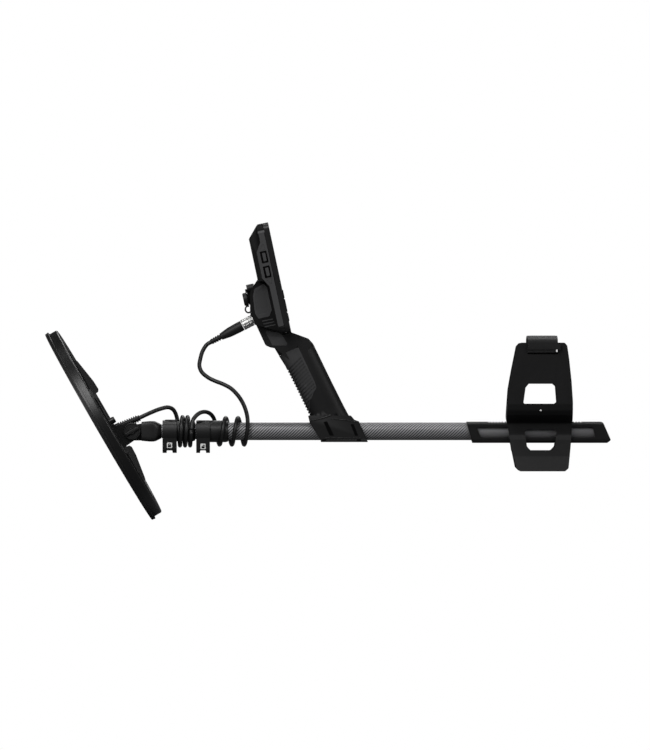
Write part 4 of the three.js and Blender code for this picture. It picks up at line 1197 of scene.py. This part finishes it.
# ------------------------------------------------------------------ control pod
POD_W, POD_H = 46.0, 148.6
SCREEN = {"y": 38.0, "low": 79.0, "high": 139.0}
KEYS = {
    "select": {"y": 0, "z": 36, "r": 6.2},
    "up": {"y": 0, "z": 51, "w": 8.5, "h": 5},
    "down": {"y": 0, "z": 21, "w": 8.5, "h": 5},
    "left": {"y": 15.5, "z": 36, "w": 5, "h": 8.5},
    "right": {"y": -15.5, "z": 36, "w": 5, "h": 8.5},
    "mode": {"y": 30, "z": 52, "w": 7.5, "h": 5},
    "pinpoint": {"y": -30, "z": 52, "w": 7.5, "h": 5},
    "metal": {"y": 30, "z": 20, "w": 7.5, "h": 5},
    "menu": {"y": -30, "z": 20, "w": 7.5, "h": 5},
}


def box_outline(half_y, low, high, r, steps=6):
    return rect(-half_y, half_y, low, high, r, steps)


def key_outline(key, grow):
    if "r" in key:
        return [(key["y"] + a, key["z"] + b) for a, b in oval(key["r"] + grow, key["r"] + grow, 2, 40)]
    w, h = key["w"] + grow, key["h"] + grow
    return [(key["y"] + a, key["z"] + b) for a, b in rect(-w, w, -h, h, 2.4)]


def make_pod_front():
    bezel = prism(box_outline(POD_W, 0, POD_H, 9), -7, 0, "YZ")
    cut(
        bezel,
        prism(box_outline(POD_W - 2.2, 2.2, POD_H - 2.2, 6.8), -8, -2.4, "YZ"),
        prism(box_outline(SCREEN["y"], SCREEN["low"], SCREEN["high"], 2), -30, 5, "YZ"),
        *[prism(key_outline(k, 0.4), -10, 5, "YZ") for k in KEYS.values()],
    )
    finish(bezel, "pod_bezel_fine", POD, "shaft", "black_plastic", 0.9)
    glass = box_outline(SCREEN["y"] - 0.3, SCREEN["low"] + 0.3, SCREEN["high"] - 0.3, 2)
    finish(prism(glass, -1.9, -0.4, "YZ"), "screen_lens_fine", POD, "shaft", "screen_glass", 0.3)
    for name, key in KEYS.items():
        cap = prism(key_outline(key, 0), -3.6, 0.9, "YZ")
        finish(cap, f"key_{name}_fine", POD, f"key_{name}_body", "black_rubber", 0.6)
        make_key_sign(name, key)


def make_key_sign(name, key):
    """A plain pictogram on each key: arrows, a ring, a bar or a target."""
    y, z = key["y"], key["z"]
    turn = {"up": 90, "down": -90, "left": 180, "right": 0}
    if name in turn:
        a = math.radians(turn[name])
        arrow = []
        for p, q in ((2.2, 0), (-1.3, 1.9), (-1.3, -1.9)):
            across = p * math.cos(a) - q * math.sin(a)
            arrow.append((y - across, z + p * math.sin(a) + q * math.cos(a)))
        sign = prism(rounded(arrow, 0.3, 3), 0.7, 1.0, "YZ")
    elif name in ("select", "pinpoint"):
        sign = lathe(rect(0.7, 1.0, 1.9, 2.5), (0, y, z), (1, 0, 0), 32, closed=True)
    elif name == "metal":
        sign = prism(box_outline(2.6, -0.5, 0.5, 0.4), 0.7, 1.0, "YZ")
        moved(sign, Matrix.Translation((0, y, z)))
    else:
        sign = None
        for k in (-1.4, 0, 1.4):
            bar = prism(box_outline(2.4, k - 0.35, k + 0.35, 0.3, 2), 0.7, 1.0, "YZ")
            moved(bar, Matrix.Translation((0, y, z)))
            sign = bar if sign is None else join(sign, bar)
    finish(sign, f"key_{name}_sign", POD, f"key_{name}_body", "label_white")


SIDE_BUTTONS = (POD_H - 64.4, POD_H - 44.4)
PHONE_Z, TORCH_Z = 55, 68.4


def pod_shell(inset, x0=-7.3):
    hw = POD_W - inset
    flank = [
        (x0, inset), (x0, POD_H - inset), (-16 + inset, POD_H - inset, 3), (-16 + inset, 124, 3),
        (-23.5 + inset, 111.6, 3), (-23.5 + inset, 78, 3), (-16 + inset, 64, 3), (-16 + inset, inset, 3),
    ]
    side = prism(rounded(flank), -hw, hw)
    common(side, prism(box_outline(hw, inset, POD_H - inset, 9 - inset), -60, 0, "YZ"))
    top = POD_H - 1.4 - inset
    hump = [
        (x0, 70 + inset), (x0, top), (-15.8 + inset, top, 2), (-29.3 + inset, 132 - inset / 2, 2.5),
        (-29.3 + inset, 74.5 + inset, 2),
    ]
    hump = prism(rounded(hump), -38 + inset, 38 - inset)
    bulge = [
        (x0, 5.5 + inset), (x0, 84), (-29.3 + inset, 77, 1), (-34.2 + inset, 72.3 - inset, 1.5),
        (-42 + inset, 64 - inset, 4), (-47.4 + inset, 39.9, 3), (-47.8 + inset, 32.2, 3),
        (-42.6 + inset, 17.6 + inset, 4), (-14.5, 3.8 + inset, 3),
    ]
    bulge = prism(rounded(bulge), -26 + inset, 26 - inset)
    return join(side, hump, bulge)


def rim_of(outline, width, low, high):
    """A thin raised or sunk line that follows the outline."""
    middle = (sum(p[0] for p in outline) / len(outline), sum(p[1] for p in outline) / len(outline))
    reach = max(math.dist(p, middle) for p in outline)
    inner = [tuple(m + (c - m) * (1 - width / reach * 1.6) for c, m in zip(p, middle)) for p in outline]
    return cut(prism(rounded(outline, 1), low, high), prism(rounded(inner, 0.6), low - 1, high + 1))


PANEL = [
    (-7.7, 10), (-7.7, 138), (-15.2, 138), (-15.4, 124.3), (-22.8, 112), (-22.8, 77), (-15.6, 64.8),
    (-15.2, 10),
]
TEARDROPS = [
    [(-17.9, 113.2), (-13.0, 121.6), (-10.9, 119.8), (-10.9, 113.2)],
    [(-17.9, 75.2), (-13.0, 67.0), (-10.9, 68.8), (-10.9, 75.2)],
]


def make_pod_sides():
    for side, name in SIDES:
        panel = side_prism(rounded(PANEL, 1.4), side, POD_W - 0.4, POD_W + 0.5)
        low, high = sorted((side * (POD_W + 0.1), side * (POD_W + 2)))
        grooves = [rim_of(drop, 0.7, low, high) for drop in TEARDROPS]
        if name == "near":
            for z in SIDE_BUTTONS:
                gap = rect(-18.9, -9.9, z - 8, z + 8, 1.2)
                grooves.append(side_prism(gap, side, POD_W - 0.6, POD_W + 1.4))
        finish(cut(panel, *grooves), f"pod_side_panel_{name}", POD, "shaft", "panel_grey", 0.25)
    # Painted shade: a near-black plate behind each side button darkens the gap round it, where shade falls.
    for i, z in enumerate(SIDE_BUTTONS):
        gap_shade = prism(box_outline(8.0, -4.5, 4.5, 1.2), -46.35, -45.6)
        moved(gap_shade, Matrix.Rotation(math.radians(90), 4, "Y"))
        moved(gap_shade, Matrix.Translation((-14.4, 0, z)))
        cut(gap_shade, button_hole(z, -50, -40))
        finish(gap_shade, f"side_button_gap_shade_{i + 1}", POD, "shaft", "deep_black")
    # Painted highlight: a pale bar at the top of the near side panel, where the upper chamfer catches the
    # light.
    highlight_bar = prism(rounded([(-16.4, 136.2), (-6.9, 136.2), (-6.9, 139.2), (-15.6, 139.2)], 0.6), -46.7, -46)
    finish(highlight_bar, "pod_side_painted_highlight", POD, "shaft", "pale_panel", 0.25)


def button_hole(z, low, high):
    return block(-18.0, -10.8, low, high, z - 7.1, z + 7.1)


def in_pod(obj):
    return moved(obj, POD.inverted() @ SHAFT)


def make_pod_rear():
    shell = pod_shell(0)
    cut(shell, pod_shell(2.2, -12))
    socket = in_pod(rod(SOCKET_AT - SOCKET_OUT * 14, SOCKET_AT + SOCKET_OUT * 8, 6.3))
    seat = in_pod(rod(SOCKET_AT - SOCKET_OUT * 3.2, SOCKET_AT + SOCKET_OUT * 8, 7.9))
    duct = in_pod(cable_duct())
    holes = [button_hole(z, -50, -36) for z in SIDE_BUTTONS]
    opening = prism(box_outline(POD_W - 2.2, 2.2, POD_H - 2.2, 6.8), -11, 0, "YZ")
    phone_hole = rod((-60, 0, PHONE_Z), (-30, 0, PHONE_Z), 5.3)
    torch_hole = rod((-60, 0, TORCH_Z), (-30, 0, TORCH_Z), 4.3)
    cut(shell, opening, socket, seat, duct, phone_hole, torch_hole, *holes)
    finish(shell, "pod_rear_fine", POD, "shaft", "painted_shade_black", 0.8, node="pod_rear_housing")

    make_pod_sides()
    for i, (z, body) in enumerate(zip(SIDE_BUTTONS, ("side_button_lower", "side_button_upper"))):
        base = prism(rect(-17.7, -11.1, z - 6.8, z + 6.8, 1.0), -46.3, -42)
        finish(base, f"side_button_{i + 1}_fine", POD, body, "deep_black", 0.3)
        pad = prism(rect(-16.2, -12.0, z - 5.6, z + 5.6, 0.7), -46.8, -46)
        finish(pad, f"side_button_{i + 1}_pad", POD, body, "panel_grey", 0.25)
    make_torch()
    make_phone_cap()
    make_pod_back_details()


def turned_x(profile, z, sides, closed=False):
    """The profile turned about a line along X at the height z."""
    return lathe(profile, (0, 0, z), (1, 0, 0), sides, closed)


def make_torch():
    lens = [(-45.4, 0), (-45.4, 2.6), (-45.0, 3.5), (-44.4, 3.9), (-32, 3.9), (-32, 0)]
    # Painted reflection: the lens is pale grey all over to stand for the torch's silver glint.
    finish(turned_x(lens, TORCH_Z, 48), "torch_lens_fine", POD, "shaft", "lamp_clear", 0.1)
    barrel = [(-48.0, 3.0), (-48.6, 4.6), (-48.0, 5.2), (-36, 5.2), (-36, 4.1), (-46.2, 4.1), (-47.2, 3.0)]
    hood = cut(turned_x(barrel, TORCH_Z, 56, closed=True), block(-60, -46, -10, 10, 68, 80))
    finish(hood, "torch_hood", POD, "shaft", "soft_black", 0.25)


def make_phone_cap():
    profile = [
        (-53.4, 0), (-53.4, 7.4), (-52.8, 8.3), (-51.8, 8.7), (-48.4, 8.7), (-47.6, 8.3), (-47.2, 6.6),
        (-45.6, 6.4), (-45.6, 5.3), (-49.4, 5.3), (-49.4, 0),
    ]
    cap = turned_x(profile, PHONE_Z, 72)
    finish(cap, "phone_cap_fine", POD, "phone_cap", "black_rubber", 0.2, node="phone_socket_cap")
    boss = rounded([(-47.0, 6.6), (-47.0, 8.4), (-38, 8.6), (-38, 6.6)], 0.5, 3)
    finish(turned_x(boss, PHONE_Z, 72, closed=True), "phone_socket_boss", POD, "shaft", "deep_black")
    loop = []
    for step in range(-20, 3):
        a = math.radians(15 * step)
        loop.append(Vector((-49.6 + 3.9 * math.cos(a), -1.5, 41.2 + 4.4 * math.sin(a))))
    finish(sweep(loop, 1.1, 12), "phone_cap_tether", POD, "shaft", "black_rubber")


PLATE = [(-36, 66), (-22, 70), (-19, 64), (-19, 34), (-24, 26), (-39, 26), (-42, 34), (-40, 56)]
PLATE_WELL = [
    (-34.4, 62), (-24, 65.4), (-22.4, 60), (-22.4, 38), (-26, 31), (-37, 31), (-38.6, 38), (-37, 54),
]


def make_pod_back_details():
    plate = prism(rounded(PLATE, 2), -26.5, -25.4)
    cut(plate, prism(rounded(PLATE_WELL, 1.6), -28, -26.15))
    finish(plate, "pod_plate", POD, "shaft", "panel_grey", 0.3)
    for i in range(3):
        z = 21 - 4 * i
        rib = prism(rect(-35 + i, -20 + i, z, z + 1.4, 0.6, 3), -26.35, -25.8)
        finish(rib, f"pod_rib_{i + 1}", POD, "shaft", "panel_grey", 0.15)


# ------------------------------------------------------------------ rear shell and armrest
SHELL_TOP, SHELL_BOTTOM, SHELL_HALF = 12.9, -15.4, 15.4
RACK_START, TEETH, TOOTH_PITCH = 474, 32, 3.93


def make_rear_shell():
    outline = [
        (452.4, SHELL_BOTTOM, 1), (631.6, SHELL_BOTTOM, 2), (636.4, -11.6, 1.5), (626.5, 11, 3),
        (624, SHELL_TOP, 2), (444.2, SHELL_TOP, 1),
    ]
    window = rounded([(464, -8.1), (615.6, -8.1), (612, 5.6), (458.4, 5.6)], 1.2)
    section = box_outline(SHELL_HALF, SHELL_BOTTOM, SHELL_TOP, 4.5)
    shell = common(prism(rounded(outline), -SHELL_HALF, SHELL_HALF), prism(section, 400, 700, "YZ"))
    bore = shaft_bore(400, 620.3, UPPER_R)
    teeth = []
    valley, crest, above = SHELL_TOP - 1.7, SHELL_TOP + 0.02, SHELL_TOP + 4
    for i in range(TEETH):
        x = RACK_START + TOOTH_PITCH * i
        teeth += [(x, valley), (x + 1.5, valley), (x + 2.1, crest), (x + TOOTH_PITCH - 0.6, crest)]
    rack = prism(teeth + [(RACK_START + TOOTH_PITCH * TEETH, above), (RACK_START, above)], -20, 20)
    lines = []
    for side, _ in SIDES:
        for z in (9.2, -11.4):
            lines.append(side_prism(rect(446, 632, z, z + 0.6), side, SHELL_HALF - 0.5, SHELL_HALF + 1))
    cut(shell, bore, prism(window, -20, 20), rack, *lines)
    finish(shell, "rear_shell_fine", SHAFT, "shaft", "black_plastic", 0.35)


WING = [
    (50.5, 118, 1.2), (48.4, 36, 8), (46.4, 28, 8), (40.5, 21.4, 8), (32, 17, 6), (19.2, 11.4, 3),
    (19.2, -5, 6), (22.4, -11, 8), (37.4, -33, 12), (47.4, -52.8),
]
LEG_INSIDE = [(43.8, -52.8), (34.4, -34.6, 12), (19.6, -12.8, 4), (16, -6), (16, 14.9)]
CUP = [(20, 18), (34, 22.4, 6), (41, 28, 6), (44.4, 36, 8), (47.3, 118, 1.2)]
ARMREST_SIDE = [
    (515.5, 117.8, 4), (511.3, 113.3, 3), (504.5, 80, 20), (500.2, 56, 20), (498.4, 32, 8), (497.4, 19, 8),
    (498.6, 9, 8), (502.9, -15.7, 12), (509.9, -47.9, 3), (514.8, -52.8, 3), (574.9, -52.8, 3),
    (579.4, -48.7, 3), (582.7, -18.5, 12), (585.2, 15, 8), (585.1, 39.5, 12), (583.3, 66.6, 20),
    (580, 97, 20), (577.5, 114, 3), (574, 117.8, 3),
]
WINDOW_UPPER = [
    (521.5, 36.6), (562.4, 36.6), (565.1, 38.6), (563.5, 59.9), (559.7, 63.2), (526.5, 63.2),
    (522.3, 58.1), (519.5, 37.9),
]
WINDOW_LOWER = [
    (529.5, -25.3), (556.9, -25.3), (561.6, -20), (564.5, -0.4), (561, 3.2), (526, 3.4), (521.9, -0.4),
    (524.7, -20),
]
STRAP_X = (525.0, 565.0)
SLOT_Z = (102.6, 107.4)
THUMB_X = 512.6
RIVET_X, RIVET_Z = 542.5, 28.1


def flip(points):
    return [(-y, *rest) for y, *rest in reversed(points)]


def make_cuff():
    section = WING + LEG_INSIDE + flip(LEG_INSIDE) + flip(WING) + flip(CUP) + CUP
    blank = prism(rounded(section, steps=4), 490, 600, "YZ")
    common(blank, prism(rounded(ARMREST_SIDE, steps=4), -70, 70))
    web = prism([(504.6, -26), (520.6, -26), (520.6, -18.6), (503.4, -18.6)], -28, 28)
    common(web, prism([(-26.4, -26), (26.4, -26), (23.6, -18.6), (-23.6, -18.6)], 490, 600, "YZ"))
    join(blank, web)
    cut(
        blank,
        prism(rounded(WINDOW_UPPER, 1.6), -70, 70),
        prism(rounded(WINDOW_LOWER, 2.4), -70, 70),
        prism(rect(STRAP_X[0] - 0.1, STRAP_X[1] + 0.1, SLOT_Z[0], SLOT_Z[1], 0.8), -60, 60),
        rod((RIVET_X, -70, RIVET_Z), (RIVET_X, 70, RIVET_Z), 1.5),
        rod((THUMB_X, 0, -60), (THUMB_X, 0, -10), 2.9),
    )
    finish(blank, "armrest_fine", SHAFT, "armrest", "cuff_black", 0.7, node="armrest_cuff")
    for side, name in SIDES:
        profile = [(0, 0), (0, 1.45), (3.6, 1.45), (4.2, 0.9), (4.3, 0)]
        stud = lathe(profile, (RIVET_X, side * 42.2, RIVET_Z), (0, side, 0), 32)
        finish(stud, f"armrest_rivet_{name}", SHAFT, "armrest", "label_white", 0.15)


def make_armrest_clamp():
    lobes = 10
    head = []
    for i in range(lobes * 8):
        a = 2 * math.pi * i / (lobes * 8)
        r = 5.9 + 0.4 * math.cos(lobes * a)
        head.append((THUMB_X + r * math.cos(a), r * math.sin(a)))
    screw = join(prism(head, -34.6, -26.4, "XY"), rod((THUMB_X, 0, -27), (THUMB_X, 0, -18.2), 2.6))
    finish(screw, "armrest_thumb_screw_fine", SHAFT, "armrest_screw", "soft_black", 0.6)
    pad = [(0, 0), (0, 5.6), (0.4, 6), (1.7, 6), (1.9, 5.7), (1.9, 0)]
    pad = lathe(pad, (THUMB_X, 0, -17.9), (0, 0, 1), 40)
    finish(pad, "armrest_pad_fine", SHAFT, "armrest", "black_rubber", 0.1, node="armrest_clamp_pad")


def strap_outline():
    half = [
        (44.2, 94), (44.6, 103.4), (46, 105), (52.2, 105.4), (53, 108), (53.2, 116), (51.6, 120),
        (46, 122.4), (30, 125), (12, 126.4),
    ]
    return [(-y, z) for y, z in half] + half[::-1]


def ribbon(points, thick, x0, x1, across=10):
    """A strap of even thickness: the line is in Y and Z, and the strap is wide in X."""
    line = [Vector((0, y, z)) for y, z in points]
    line = smooth_line(line, 5)
    rings = []
    for i, p in enumerate(line):
        ahead = (line[min(i + 1, len(line) - 1)] - line[max(i - 1, 0)]).normalized()
        up = Vector((0, -ahead.z, ahead.y))
        ring = []
        for side in (1, -1):
            for k in range(across + 1):
                t = k / across if side > 0 else 1 - k / across
                edge = 0.75 if k in (0, across) else 1.0
                ring.append(p + up * (side * thick / 2 * edge) + Vector((x0 + (x1 - x0) * t, 0, 0)))
        rings.append(ring)
    return lofted(rings), length_of(line)


def make_strap():
    strap, length = ribbon(strap_outline(), 1.6, *STRAP_X)
    piece = finish(strap, "arm_strap_fine", SHAFT, "armrest", "webbing")
    hem, _ = ribbon([(-54.3, 108.4), (-54.6, 112), (-54.2, 115.8)], 1.2, STRAP_X[0] + 1, STRAP_X[1] + 3.5, 8)
    hem = finish(hem, "strap_fold", SHAFT, "armrest", "webbing")
    tag = block(STRAP_X[1] - 2.6, STRAP_X[1] - 0.4, -55.9, -55.1, 105.2, 108.4)
    tag = finish(tag, "strap_tag", SHAFT, "armrest", "label_white", 0.3)


# ------------------------------------------------------------------ hidden pieces
def dress_hidden_nodes():
    """The pieces inside the housings keep their CAD shapes, with softened edges and their own finish."""
    hidden = {
        "transmit_winding": "potted_winding",
        "receive_winding": "potted_winding",
        "friction_washer_1": "black_rubber",
        "friction_washer_2": "black_rubber",
        "lower_tube_bush": "black_rubber",
        "middle_tube_bush": "black_rubber",
        "display_module": "steel",
        "main_board": "circuit_board",
        "battery_pack": "cell_pack",
        "phone_socket": "nickel",
    }
    for node, look in hidden.items():
        obj = frame["nodes"][node]
        for slot in obj.material_slots:
            slot.material = LOOKS[look]
        m = obj.modifiers.new("edges", "BEVEL")
        m.width = 0.2 * MM
        m.segments = 2
        m.limit_method = "ANGLE"


make_camera()
make_studio()
plug_pieces = make_plug()
make_cable(make_boot())
make_coil()
make_tilt_bolt()
make_tubes()
make_yoke_fitting()
for lock_name, lock_sizes in LOCKS.items():
    make_lock_collar(lock_name, lock_sizes)
    make_lock_lever(lock_name, lock_sizes)
make_handle()
make_pod_front()
make_pod_rear()
make_rear_shell()
make_cuff()
make_armrest_clamp()
make_strap()
dress_hidden_nodes()
